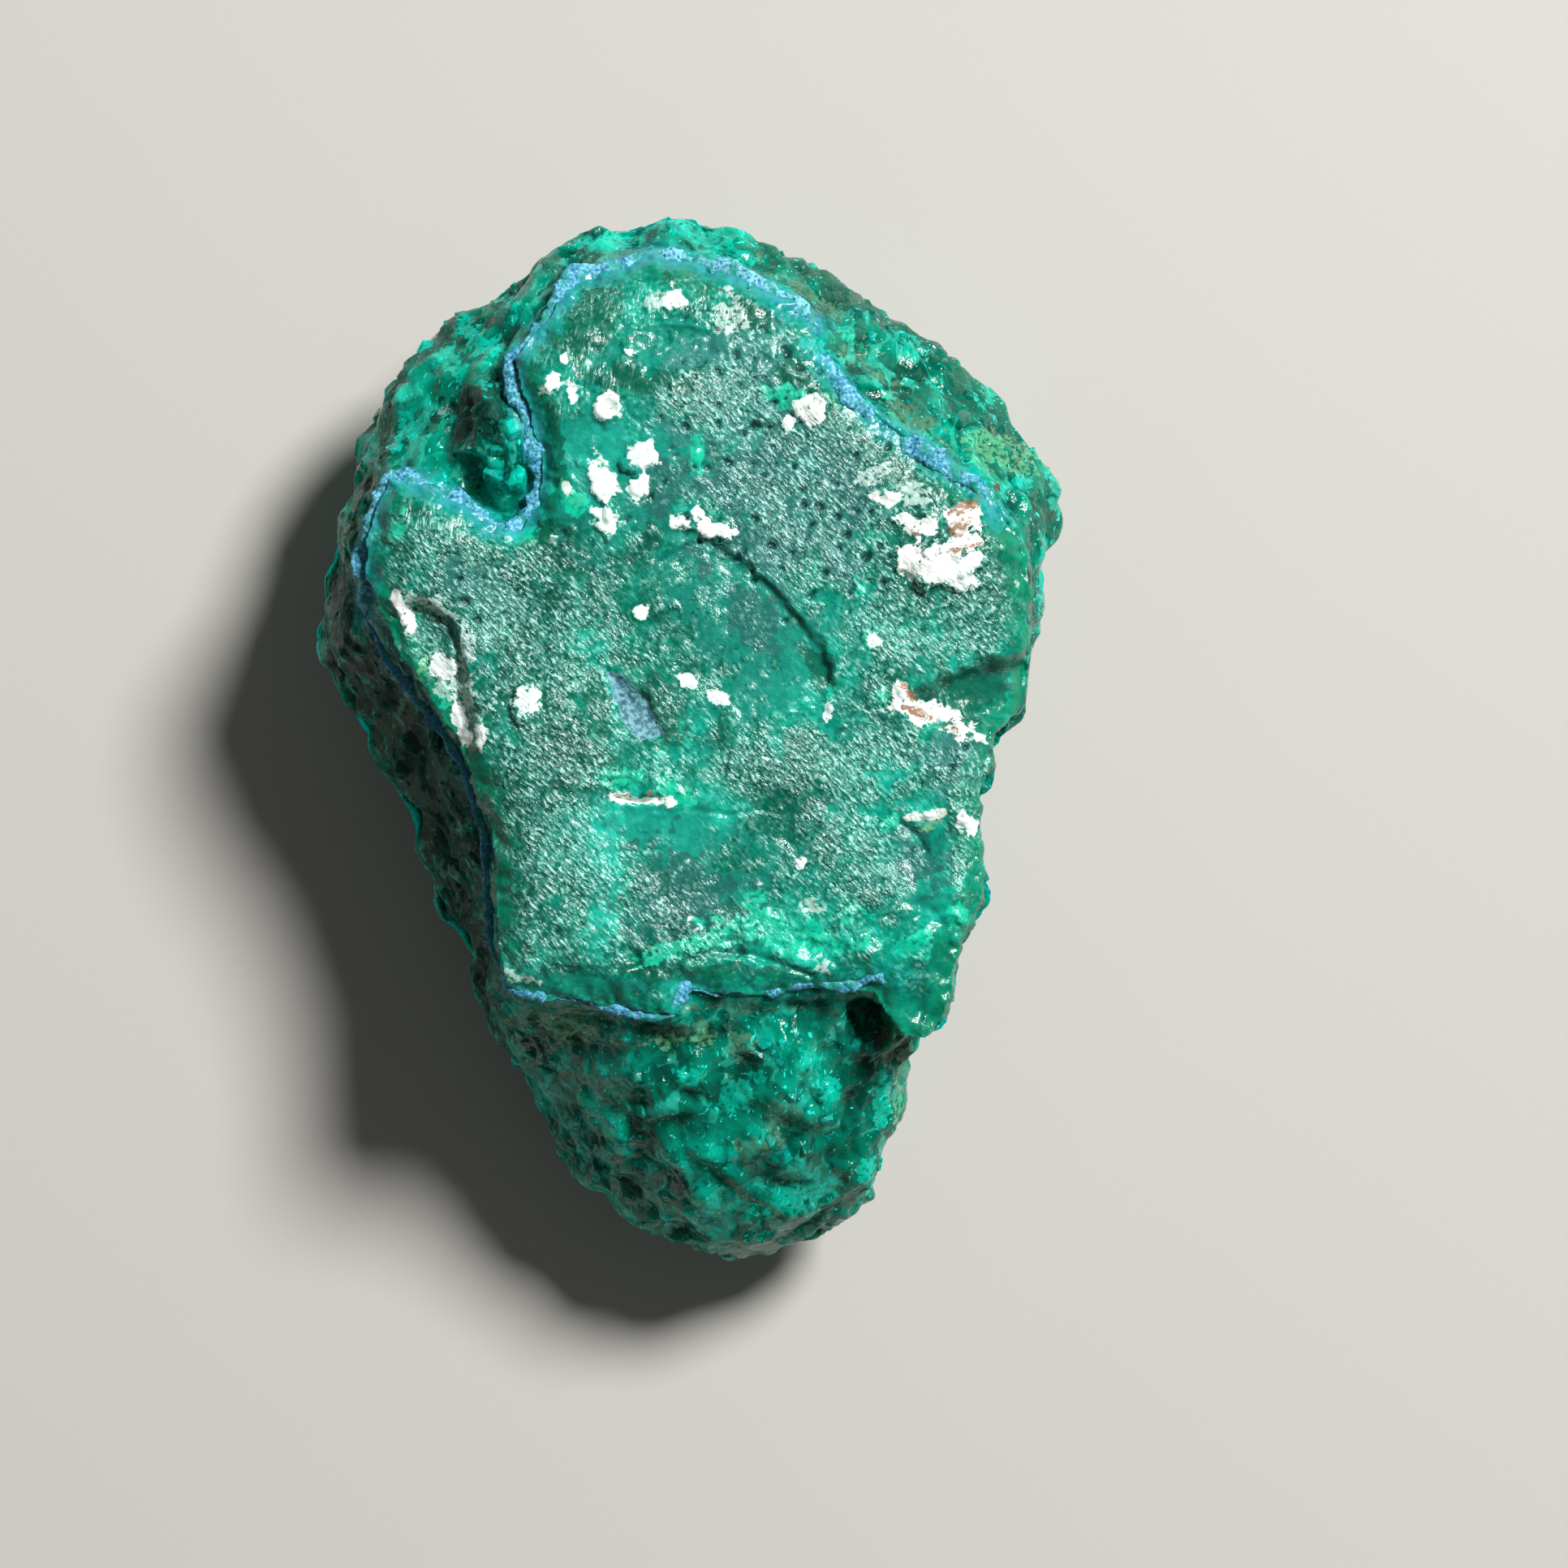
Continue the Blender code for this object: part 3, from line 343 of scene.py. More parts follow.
# Routes of the blue seam over the plan, and the steps of a curve between two corners.
CURVE_STEPS = 24
SEAM_LEFT: Points = (
    (-1.3, 18.8), (-3.1, 18.1), (-4.4, 17.8), (-4.8, 17.0), (-5.3, 16.1), (-6.2, 15.1),
    (-6.8, 14.4), (-6.2, 12.4), (-5.8, 11.1), (-5.6, 9.9), (-6.2, 8.5), (-6.9, 7.9),
    (-7.7, 8.2), (-8.8, 9.1), (-10.0, 9.8), (-11.3, 10.0), (-11.8, 9.3), (-12.2, 8.0),
    (-12.6, 7.0), (-12.4, 6.0), (-12.5, 4.6),
)
SEAM_TOP: Points = (
    (-1.4, 18.8), (0.1, 18.5), (1.4, 18.1), (2.9, 17.4), (4.0, 16.7), (5.1, 15.9),
)
SEAM_RIGHT: Points = (
    (4.8, 15.1), (5.8, 13.8), (6.7, 12.8), (7.8, 11.7), (8.9, 11.1), (10.8, 9.9),
    (12.0, 8.5),
)
SEAM_FLANK: Points = (
    (-12.5, 4.6), (-11.8, 3.4), (-10.8, 1.8), (-9.4, -0.1), (-8.5, -1.6), (-7.9, -3.5),
    (-7.7, -6.0), (-7.6, -7.9), (-7.3, -9.0),
)
SEAM_LOW: Points = (
    (-7.3, -9.0), (-6.4, -9.8), (-4.6, -10.0), (-3.5, -10.1), (-2.4, -10.5), (-0.8, -10.8),
    (-0.4, -10.0), (0.1, -9.6), (1.7, -9.8), (3.6, -9.7), (4.8, -9.4), (6.1, -9.5),
    (7.3, -9.2), (8.6, -9.3),
)


# ---------------------------------------------------------------- small tools


def smooth_step(low: float, high: float, value: np.ndarray) -> np.ndarray:
    """Return 0 below low, 1 above high and a smooth rise between them."""
    t = np.clip((value - low) / (high - low), 0.0, 1.0)
    return t * t * (3.0 - 2.0 * t)


def line_distance(x: np.ndarray, y: np.ndarray, route: Points) -> np.ndarray:
    """Measure how far places lie from an open line.

    Args:
        x: the places along X.
        y: the places along Y.
        route: the line's corners.

    Returns:
        Each place's distance to the nearest part of the line.
    """
    nearest = np.full(x.shape, np.inf)
    for (ax, ay), (bx, by) in zip(route, route[1:]):
        run_x, run_y = bx - ax, by - ay
        along = ((x - ax) * run_x + (y - ay) * run_y) / (run_x ** 2 + run_y ** 2)
        along = np.clip(along, 0.0, 1.0)
        nearest = np.minimum(nearest, np.hypot(x - ax - along * run_x, y - ay - along * run_y))
    return nearest


def edge_distance(x: np.ndarray, y: np.ndarray, outline: Points) -> np.ndarray:
    """Measure how far places lie inside a closed outline.

    Args:
        x: the places along X.
        y: the places along Y.
        outline: the outline's corners.

    Returns:
        Each place's distance to the outline, negative outside it.
    """
    inside = np.zeros(x.shape, dtype=bool)
    for (ax, ay), (bx, by) in zip(outline, outline[1:] + outline[:1]):
        if ay != by:
            crosses = (ay > y) != (by > y)
            inside ^= crosses & (x < ax + (y - ay) * (bx - ax) / (by - ay))
    nearest = line_distance(x, y, outline + outline[:1])
    return np.where(inside, nearest, -nearest)


def by_place(x: np.ndarray, y: np.ndarray, places: Places) -> np.ndarray:
    """Blend values that are known at some places over the plan.

    Args:
        x: where the blend is wanted, along X.
        y: where the blend is wanted, along Y.
        places: the known values.

    Returns:
        The blended value at each place, nearer known ones counting more.
    """
    total = np.zeros_like(x)
    weights = np.zeros_like(x)
    for place_x, place_y, value in places:
        weight = 1.0 / (1.0 + (x - place_x) ** 2 + (y - place_y) ** 2) ** 2
        total += weight * value
        weights += weight
    return total / weights


def lattice_random(cells: np.ndarray, seed: int) -> np.ndarray:
    """Return a fixed random number from 0 to 1 for each whole-numbered cell."""
    folded = np.sin(cells @ np.array([127.1, 311.7, 74.7]) + 19.19 * seed) * 43758.5453
    return folded - np.floor(folded)


def swell_noise(points: np.ndarray, cell: float, seed: int) -> np.ndarray:
    """Make one wave of smooth noise.

    Args:
        points: places in millimetres, one row each.
        cell: about how long a wave is.
        seed: the number that tells this noise from others.

    Returns:
        The noise at each place, from -1 to 1.
    """
    scaled = points / cell
    low = np.floor(scaled)
    blend = scaled - low
    blend = blend * blend * (3.0 - 2.0 * blend)
    result = np.zeros(len(points))
    for corner in np.ndindex(2, 2, 2):
        weight = np.prod(np.where(corner, blend, 1.0 - blend), axis=1)
        result += weight * lattice_random(low + corner, seed)
    return 2.0 * result - 1.0


def swell(points: np.ndarray, waves: Waves) -> np.ndarray:
    """Return several waves of smooth noise, added up."""
    return sum(height * swell_noise(points, cell, seed) for height, cell, seed in waves)


def sway(points: np.ndarray, waves: Waves, axes: int) -> np.ndarray:
    """Make noise that shifts places sideways.

    Args:
        points: places in millimetres, one row each.
        waves: the waves along the first axis; each later axis takes the next seeds.
        axes: how many axes there are.

    Returns:
        The shift of each place, one column for each axis.
    """
    return np.stack([swell(points, tuple((height, cell, seed + axis)
                                         for height, cell, seed in waves))
                     for axis in range(axes)], axis=1)


def crystal_faces(points: np.ndarray, grain: float, seed: int) -> np.ndarray:
    """Make relief out of overlapping, flat-faced crystal tips.

    Args:
        points: places in millimetres, one row each.
        grain: about how wide a crystal is.
        seed: the number that tells these crystals from others.

    Returns:
        The relief at each place, from 0 to about 1.
    """
    scaled = points / grain
    low = np.floor(scaled)
    relief = np.full(len(points), -np.inf)
    for step in np.ndindex(3, 3, 3):
        cell = low + np.array(step) - 1.0
        centre = cell + np.stack([lattice_random(cell, seed + k) for k in range(3)], axis=1)
        turn = 2.0 * math.pi * lattice_random(cell, seed + 3)
        lean = LEAST_LEAN + LEAN_SPREAD * lattice_random(cell, seed + 4)
        offset = scaled - centre
        fall = np.full(len(points), -np.inf)
        for face in range(TIP_FACES):
            angle = turn + 2.0 * math.pi * face / TIP_FACES
            rise = np.where(face % 2, lean, -lean)
            level = np.sqrt(1.0 - rise * rise)
            reach = offset[:, 0] * level * np.cos(angle) + offset[:, 1] * level * np.sin(angle)
            fall = np.maximum(fall, reach + offset[:, 2] * rise)
        height = LEAST_TIP + (1.0 - LEAST_TIP) * lattice_random(cell, seed + 5)
        relief = np.maximum(relief, height - TIP_STEEPNESS * fall)
    return np.clip(relief, 0.0, RELIEF_LIMIT)


def patch_cover(points: np.ndarray, patches: Patches, torn: np.ndarray) -> np.ndarray:
    """Measure how far places lie in any of some patches.

    Args:
        points: places in millimetres, one row each.
        patches: ellipses on the plan.
        torn: how far each place is shifted in or out of a patch by its ragged edge.

    Returns:
        The cover of each place, 1 well inside a patch and 0 well outside.
    """
    x, y = points[:, 0], points[:, 1]
    cover = np.zeros(len(points))
    for patch_x, patch_y, half_length, half_width, turn in patches:
        reach = PATCH_REACH * max(half_length, half_width)
        near = np.flatnonzero((np.abs(x - patch_x) < reach) & (np.abs(y - patch_y) < reach))
        along = (math.cos(math.radians(turn)), math.sin(math.radians(turn)))
        run = (x[near] - patch_x) * along[0] + (y[near] - patch_y) * along[1]
        side = (y[near] - patch_y) * along[0] - (x[near] - patch_x) * along[1]
        far = np.hypot(run / half_length, side / half_width) + torn[near]
        cover[near] = np.maximum(cover[near], smooth_step(*PATCH_FADE, far))
    return cover


def smooth_route(route: Points, step: float) -> np.ndarray:
    """Draw a smooth curve through a route's points.

    Args:
        route: the points.
        step: how far apart the curve's own points are to be.

    Returns:
        Evenly spaced points on the curve, one row each.
    """
    corners = np.array(route)
    padded = np.vstack([2 * corners[0] - corners[1], corners, 2 * corners[-1] - corners[-2]])
    curve = []
    t = np.linspace(0.0, 1.0, CURVE_STEPS, endpoint=False)[:, None]
    for p0, p1, p2, p3 in zip(padded, padded[1:], padded[2:], padded[3:]):
        curve.append(0.5 * (2 * p1 + (p2 - p0) * t + (2 * p0 - 5 * p1 + 4 * p2 - p3) * t ** 2
                            + (3 * p1 - p0 - 3 * p2 + p3) * t ** 3))
    line = np.vstack(curve + [corners[-1:]])
    length = np.concatenate([[0.0], np.cumsum(np.hypot(*np.diff(line, axis=0).T))])
    even = np.linspace(0.0, length[-1], int(length[-1] / step))
    return np.stack([np.interp(even, length, line[:, k]) for k in range(2)], axis=1)


def rounded_ring(values: np.ndarray, near: int) -> np.ndarray:
    """Return the rows of a closed ring, each averaged with so many on both sides of it."""
    return np.mean([np.roll(values, k, axis=0) for k in range(-near, near + 1)], axis=0)


def linear_colour(code: str) -> tuple[float, float, float, float]:
    """Turn an sRGB colour into a linear one.

    Args:
        code: the colour as a hex code such as "#0b6b52".

    Returns:
        Its linear red, green, blue and alpha.
    """
    parts = [int(code[k:k + 2], 16) / 255.0 for k in (1, 3, 5)]
    linear = [p / 12.92 if p <= 0.04045 else ((p + 0.055) / 1.055) ** 2.4 for p in parts]
    return (*linear, 1.0)


def first_output(source: Source) -> bpy.types.NodeSocket:
    """Find the socket that a source stands for as the input of another node.

    Args:
        source: a node or one of its outputs.

    Returns:
        The output itself, or the node's first one that is in use.
    """
    if isinstance(source, bpy.types.Node):
        return next(output for output in source.outputs if output.enabled)
    return source


def set_stops(ramp: bpy.types.Node, stops: Stops) -> None:
    """Give a colour ramp its stops.

    Args:
        ramp: the ramp's node.
        stops: the position and hex colour of each.
    """
    elements = ramp.color_ramp.elements
    for _ in range(len(stops) - 2):
        elements.new(0.5)
    for element, (position, code) in zip(elements, stops):
        element.position = position
        element.color = linear_colour(code)


def read_rows(items: bpy.types.bpy_prop_collection, name: str, width: int = 3) -> np.ndarray:
    """Read one property of many items.

    Args:
        items: the vertices, normals or stored numbers.
        name: the property's name.
        width: how many numbers it has.

    Returns:
        The numbers, one row for each item.
    """
    values = np.empty(len(items) * width)
    items.foreach_get(name, values)
    return values.reshape(-1, width)


def take_mask(mesh: bpy.types.Mesh, name: str) -> np.ndarray:
    """Take the numbers that are stored under a name off a mesh.

    Args:
        mesh: the mesh.
        name: the name.

    Returns:
        One number for each vertex.
    """
    values = read_rows(mesh.attributes[name].data, "value", 1).ravel()
    mesh.attributes.remove(mesh.attributes[name])
    return values


def set_mask(mesh: bpy.types.Mesh, name: str, values: np.ndarray) -> None:
    """Store one number for each vertex under a name that materials can read."""
    mask = mesh.attributes.new(name, "FLOAT", "POINT")
    mask.data.foreach_set("value", np.ascontiguousarray(values, dtype=np.float32))


def set_points(mesh: bpy.types.Mesh, points: np.ndarray) -> None:
    """Move a mesh's vertices to new positions."""
    mesh.vertices.foreach_set("co", np.ascontiguousarray(points, dtype=np.float64).ravel())
    mesh.update()


def new_mesh(name: str, bm: bmesh.types.BMesh) -> bpy.types.Mesh:
    """Turn a bmesh into a mesh.

    Args:
        name: the mesh's name.
        bm: the bmesh, which is freed.

    Returns:
        The new mesh.
    """
    mesh = bpy.data.meshes.new(name)
    bm.to_mesh(mesh)
    bm.free()
    return mesh


def new_object(name: str, data: bpy.types.ID) -> bpy.types.Object:
    """Put a mesh, camera or light into the scene.

    Args:
        name: the new object's name.
        data: the mesh, camera or light.

    Returns:
        The new object.
    """
    thing = bpy.data.objects.new(name, data)
    bpy.context.scene.collection.objects.link(thing)
    return thing


def set_patch_masks(mesh: bpy.types.Mesh, points: np.ndarray, seen: np.ndarray) -> None:
    """Store on a mesh how far each place lies in each kind of patch and beside the seam.

    Args:
        mesh: the mesh to mark.
        points: its vertices in millimetres.
        seen: 1 where the patches hold, 0 lower down on the flanks and underneath.
    """
    torn = swell(points, TORN_EDGE)
    for kind in Patch:
        patches, whole = kind.value
        set_mask(mesh, kind.name.lower(), whole * patch_cover(points, patches, torn) * seen)
    beside, core = np.zeros((2, len(points)))
    for seam in Seam:
        far = line_distance(points[:, 0], points[:, 1], seam.value.route) + STAIN_WANDER * torn
        beside = np.maximum(beside, seam.value.stain * smooth_step(*STAIN_FADE, far))
        core = np.maximum(core, CORE_SHARE * seam.value.stain * smooth_step(*CORE_FADE, far))
    set_mask(mesh, "seamside", beside * seen)
    set_mask(mesh, "seamcore", core * seen)


def finish_piece(name: str, mesh: bpy.types.Mesh,
                 material: bpy.types.Material) -> bpy.types.Object:
    """Turn a mesh in millimetres into a finished piece that rides with the stone.

    Args:
        name: the piece's name.
        mesh: its mesh in millimetres, not yet lowered onto its broken back.
        material: its finish.

    Returns:
        The new object, riding with the stone's body and standing for its solid.
    """
    mesh.transform(Matrix.Scale(MM, 4) @ Matrix.Translation((0.0, 0.0, -BREAK_HEIGHT)))
    mesh.materials.append(material)
    mesh.shade_smooth()
    piece = new_object(name, mesh)
    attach(piece, BODY)
    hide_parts(NODE)
    LOG.info("%s: %d faces", name, len(mesh.polygons))
    return piece


class Patch(Enum):
    """The kinds of patch on the plan: where each lies and how whole it is."""

    BRIGHT = (BRIGHT, 0.75)
    DEEP = (DEEP, 1.0)
    PALE = (PALE, 0.85)
    BROWN = (BROWN, 0.7)
    OLIVE = (OLIVE, 0.7)
    LIME = (LIME, 0.6)
    EMERALD = (EMERALD, 0.9)
    GREY = (GREY, 0.65)
    GLINT = (GLINTS, 0.9)
    DUSKY = (DUSKY, 1.0)
    PITTED = (PITTED, 1.0)
    FIBROUS = (FIBROUS, 1.0)


@dataclass(frozen=True)
class Stretch:
    """A stretch of the blue seam: its route over the plan and half its width.

    Threads is the share of pale threads in it, and stain how strongly it colours the stone
    beside it.
    """

    route: Points
    half_width: float
    threads: float
    stain: float


class Seam(Enum):
    """The stretches of the blue seam."""

    LEFT = Stretch(SEAM_LEFT, 0.33, 0.5, 1.0)
    TOP = Stretch(SEAM_TOP, 0.38, 0.9, 1.0)
    RIGHT = Stretch(SEAM_RIGHT, 0.34, 0.5, 0.9)
    FLANK = Stretch(SEAM_FLANK, 0.17, 0.15, 0.4)
    LOW = Stretch(SEAM_LOW, 0.27, 0.4, 0.5)


# ---------------------------------------------------------------- finishes


class NodeSheet:
    """A material's node tree while it is being drawn up.

    Where a node is given as another node's input, it stands for its first output.
    """

    def __init__(self, name: str) -> None:
        """Start a material with a Principled shader.

        Args:
            name: the material's name.
        """
        self.material = bpy.data.materials.new(name)
        self.material.use_nodes = True
        self.tree = self.material.node_tree
        self.shader = self.tree.nodes["Principled BSDF"]
        self.place = self.add("ShaderNodeTexCoord").outputs["Object"]

    def add(self, kind: str, settings: dict | None = None,
            inputs: dict | None = None) -> bpy.types.Node:
        """Add a node.

        Args:
            kind: the node's type name.
            settings: its own properties.
            inputs: its inputs by name or number, each a value or something to link.

        Returns:
            The new node.
        """
        node = self.tree.nodes.new(kind)
        for name, value in (settings or {}).items():
            setattr(node, name, value)
        for name, value in (inputs or {}).items():
            if isinstance(value, (bpy.types.Node, bpy.types.NodeSocket)):
                self.tree.links.new(first_output(value), node.inputs[name])
            else:
                node.inputs[name].default_value = value
        return node

    def weigh(self, *parts: tuple[Source, float]) -> bpy.types.Node:
        """Add up several sources.

        Args:
            parts: each source, and how many times it is taken.

        Returns:
            The last node, whose output is the sum.
        """
        total: Source | float = 0.0
        for value, times in parts:
            total = self.add("ShaderNodeMath", PLUS_PRODUCT, {0: value, 1: times, 2: total})
        return total

    def coat(self, colour: Source | tuple, source: Source, coat: Coat,
             limit: Source | None = None) -> bpy.types.Node:
        """Lay one colour over another where a source is strong enough.

        Args:
            colour: the colour below.
            source: what the coat follows.
            coat: its colour, where it starts, where it is full, and its greatest cover.
            limit: what its cover is multiplied by, if anything.

        Returns:
            The last node, whose output is the colour with its coat.
        """
        code, start, full, cover = coat
        share = self.add("ShaderNodeMapRange", SMOOTH, {
            "Value": source, "From Min": start, "From Max": full, "To Max": cover})
        if limit is not None:
            share = self.add("ShaderNodeMath", PRODUCT, {0: share, 1: limit})
        return self.add("ShaderNodeMix", COLOURS, {0: share, 6: colour, 7: linear_colour(code)})

    def lay_patches(self, colour: Source, layers: Layers, crumbs: Source) -> bpy.types.Node:
        """Lay patches of colour over a colour, their edges crumbling along a fine noise.

        Args:
            colour: the colour below.
            layers: for each patch its stored mask, its hex colour and its greatest cover.
            crumbs: the noise, from 0 to 1.

        Returns:
            The last node, whose output is the colour with all patches.
        """
        for name, code, cover in layers:
            mask = self.add("ShaderNodeAttribute", {"attribute_name": name}).outputs["Fac"]
            colour = self.coat(colour, self.weigh((mask, 1.0), (crumbs, CRUMBLING)),
                               (code, *CRUMBLED, cover))
        return colour

    def tilt_cells(self, cells: bpy.types.Node, bent: Source, slope: float) -> Source:
        """Give each cell one flat face, tilted its own way.

        Args:
            cells: the Voronoi node.
            bent: the place it is read at.
            slope: how steep the steepest faces are.

        Returns:
            The height of the faces, in metres.
        """
        offset = self.add("ShaderNodeVectorMath", {"operation": "SUBTRACT"},
                          {0: bent, 1: cells.outputs["Position"]})
        tilt = self.add("ShaderNodeVectorMath", PLUS_PRODUCT,
                        {0: cells.outputs["Color"], 1: (2.0 * slope,) * 3, 2: (-slope,) * 3})
        height = self.add("ShaderNodeVectorMath", {"operation": "DOT_PRODUCT"},
                          {0: offset, 1: tilt})
        return height.outputs["Value"]

    def let_light_in(self, weight: float, scale_mm: float, shine: float) -> None:
        """Make the surface dioptase: light spreads under it, green and blue the furthest.

        Args:
            weight: the share of light that enters the stone.
            scale_mm: how far it spreads, in millimetres.
            shine: how strongly the surface reflects; 0.5 is the full strength of the IOR.
        """
        constants = {"IOR": DIOPTASE_IOR, "Specular IOR Level": shine,
                     "Subsurface Weight": weight, "Subsurface Radius": LIGHT_SPREAD,
                     "Subsurface Scale": scale_mm * MM}
        for name, value in constants.items():
            self.shader.inputs[name].default_value = value

    def finish(self, colour: Source, roughness: Source, height: Source) -> bpy.types.Material:
        """Lead the patterns to the shader.

        Args:
            colour: the base colour.
            roughness: the roughness.
            height: the fine relief, in metres.

        Returns:
            The finished material.
        """
        bump = self.add("ShaderNodeBump", None, {"Distance": 1.0, "Height": height})
        sources = {"Base Color": colour, "Roughness": roughness, "Normal": bump}
        for name, source in sources.items():
            self.tree.links.new(first_output(source), self.shader.inputs[name])
        return self.material


@dataclass(frozen=True)
class CrystalFinish:
    """Dioptase, broken: glassy emerald to turquoise lumps that let light through.

    Lumps differ in tone, darker where the relief is low, which is painted shade in the clefts,
    and their broken faces tilt their own ways, so that the eye sees a mass of grown-together
    crystals; olive and turquoise crusts fill clefts between them, and the thin pale turquoise
    lines along the lumps' edges and the sparks are painted glints. Bright turquoise patches are
    painted glow of light shining through, and some deep patches are painted shade.
    """

    tones: Stops = (
        (0.12, "#004c3c"), (0.36, "#007a62"), (0.56, "#00a086"), (0.76, "#00c0a2"),
        (0.97, "#2ceccc"),
    )
    tone_range: tuple[float, float] = (0.07, 0.87)
    # Shares of lumps, shards, mottle and the stored tone; on the courses that tone is the relief,
    # so clefts come out darker, as painted shade.
    tone_shares: tuple[float, ...] = (0.16, 0.14, 0.6, 0.35)
    # Deep patches are partly painted shade, bright ones painted glow of light shining through,
    # lime partly painted light under the plateau's lower edge, and pale partly painted glare.
    layers: Layers = (
        ("emerald", "#005a46", 0.85), ("deep", "#002c1f", 0.85), ("olive", "#5f8c6e", 0.6),
        ("lime", "#70c890", 0.55), ("seamside", "#18a09c", 0.55), ("seamcore", "#3c9cb4", 0.6),
        ("bright", "#08d0b4", 0.55), ("brown", "#5a4030", 0.9), ("pale", "#cfe6dc", 0.8),
    )
    # Pale turquoise lines along the lumps' edges and pale sparks on the faces: painted glints.
    edge: Coat = ("#3cdcc0", 0.95, 1.08, 0.35)
    edge_shares: tuple[float, ...] = (1.0, 0.6)
    spark: Coat = ("#30f4dc", 0.71, 0.77, 0.85)
    spark_shares: tuple[float, ...] = (1.0, 0.12, -0.06)
    lump_mm: float = 2.2
    lump_slope: float = 0.22
    shard_mm: float = 0.6
    shard_slope: float = 0.34
    shard_stretch: float = 1.9
    shard_turn: float = 75.0
    warp_mm: float = 0.9
    warp_reach_mm: float = 0.7
    mottle_mm: float = 1.6
    crumb_mm: float = 0.2
    crumb_rise_mm: float = 0.05
    spark_mm: float = 0.16
    dull_range: tuple[float, float] = (0.4, 0.65)
    roughness: tuple[float, float] = (0.07, 0.25)
    deep_roughness: float = 0.35
    light_in: float = 0.7
    light_reach_mm: float = 1.8
    shine: float = 0.16

    def material(self) -> bpy.types.Material:
        """Draw up the finish.

        Returns:
            The finish as a material.
        """
        sheet = NodeSheet("dioptase_broken_crystal")
        warp = sheet.add("ShaderNodeTexNoise", None, {
            "Vector": sheet.place, "Scale": 1.0 / (self.warp_mm * MM), "Detail": 1.0})
        bent = sheet.add("ShaderNodeVectorMath", PLUS_PRODUCT, {
            0: warp.outputs["Color"], 1: (self.warp_reach_mm * MM,) * 3, 2: sheet.place})
        along = sheet.add("ShaderNodeMapping", TURNED, {
            "Vector": bent, "Rotation": (0.0, 0.0, math.radians(self.shard_turn)),
            "Scale": (self.shard_stretch, 1.0, 1.0)})
        lumps, shards = (
            sheet.add("ShaderNodeTexVoronoi", None, {"Vector": place, "Scale": 1.0 / (size * MM)})
            for place, size in ((bent, self.lump_mm), (along, self.shard_mm)))
        mottle, crumbs, sparks = (
            sheet.add("ShaderNodeTexNoise", None,
                      {"Vector": place, "Scale": 1.0 / (size * MM), "Detail": detail})
            for place, size, detail in (
                (sheet.place, self.mottle_mm, 4.0), (sheet.place, self.crumb_mm, 2.0),
                (along, self.spark_mm, 1.0)))
        lump_tone, shard_tone = (
            sheet.add("ShaderNodeSeparateColor", None, {0: cells.outputs["Color"]})
            for cells in (lumps, shards))
        tone_and_cleft_shade, deep = (
            sheet.add("ShaderNodeAttribute", {"attribute_name": name}).outputs["Fac"]
            for name in ("tone", "deep"))
        shade = sheet.add("ShaderNodeMapRange", None, {
            "Value": sheet.weigh(*zip((lump_tone, shard_tone, mottle, tone_and_cleft_shade),
                                      self.tone_shares)),
            "From Min": self.tone_range[0], "From Max": self.tone_range[1]})
        colour = sheet.add("ShaderNodeValToRGB", None, {"Fac": shade})
        set_stops(colour, self.tones)
        colour = sheet.coat(colour, sheet.weigh(*zip((shards, mottle), self.edge_shares)),
                            self.edge)
        colour = sheet.lay_patches(colour, self.layers, crumbs)
        colour = sheet.coat(colour, sheet.weigh(*zip((sparks, shade, deep), self.spark_shares)),
                            self.spark)
        gloss = sheet.add("ShaderNodeMapRange", None, {
            "Value": mottle, "From Min": self.dull_range[0], "From Max": self.dull_range[1],
            "To Min": self.roughness[0], "To Max": self.roughness[1]})
        height = sheet.weigh((sheet.tilt_cells(lumps, bent, self.lump_slope), 1.0),
                             (sheet.tilt_cells(shards, along, self.shard_slope), 1.0),
                             (crumbs, self.crumb_rise_mm * MM))
        sheet.let_light_in(self.light_in, self.light_reach_mm, self.shine)
        return sheet.finish(colour, sheet.weigh((gloss, 1.0), (deep, self.deep_roughness)), height)


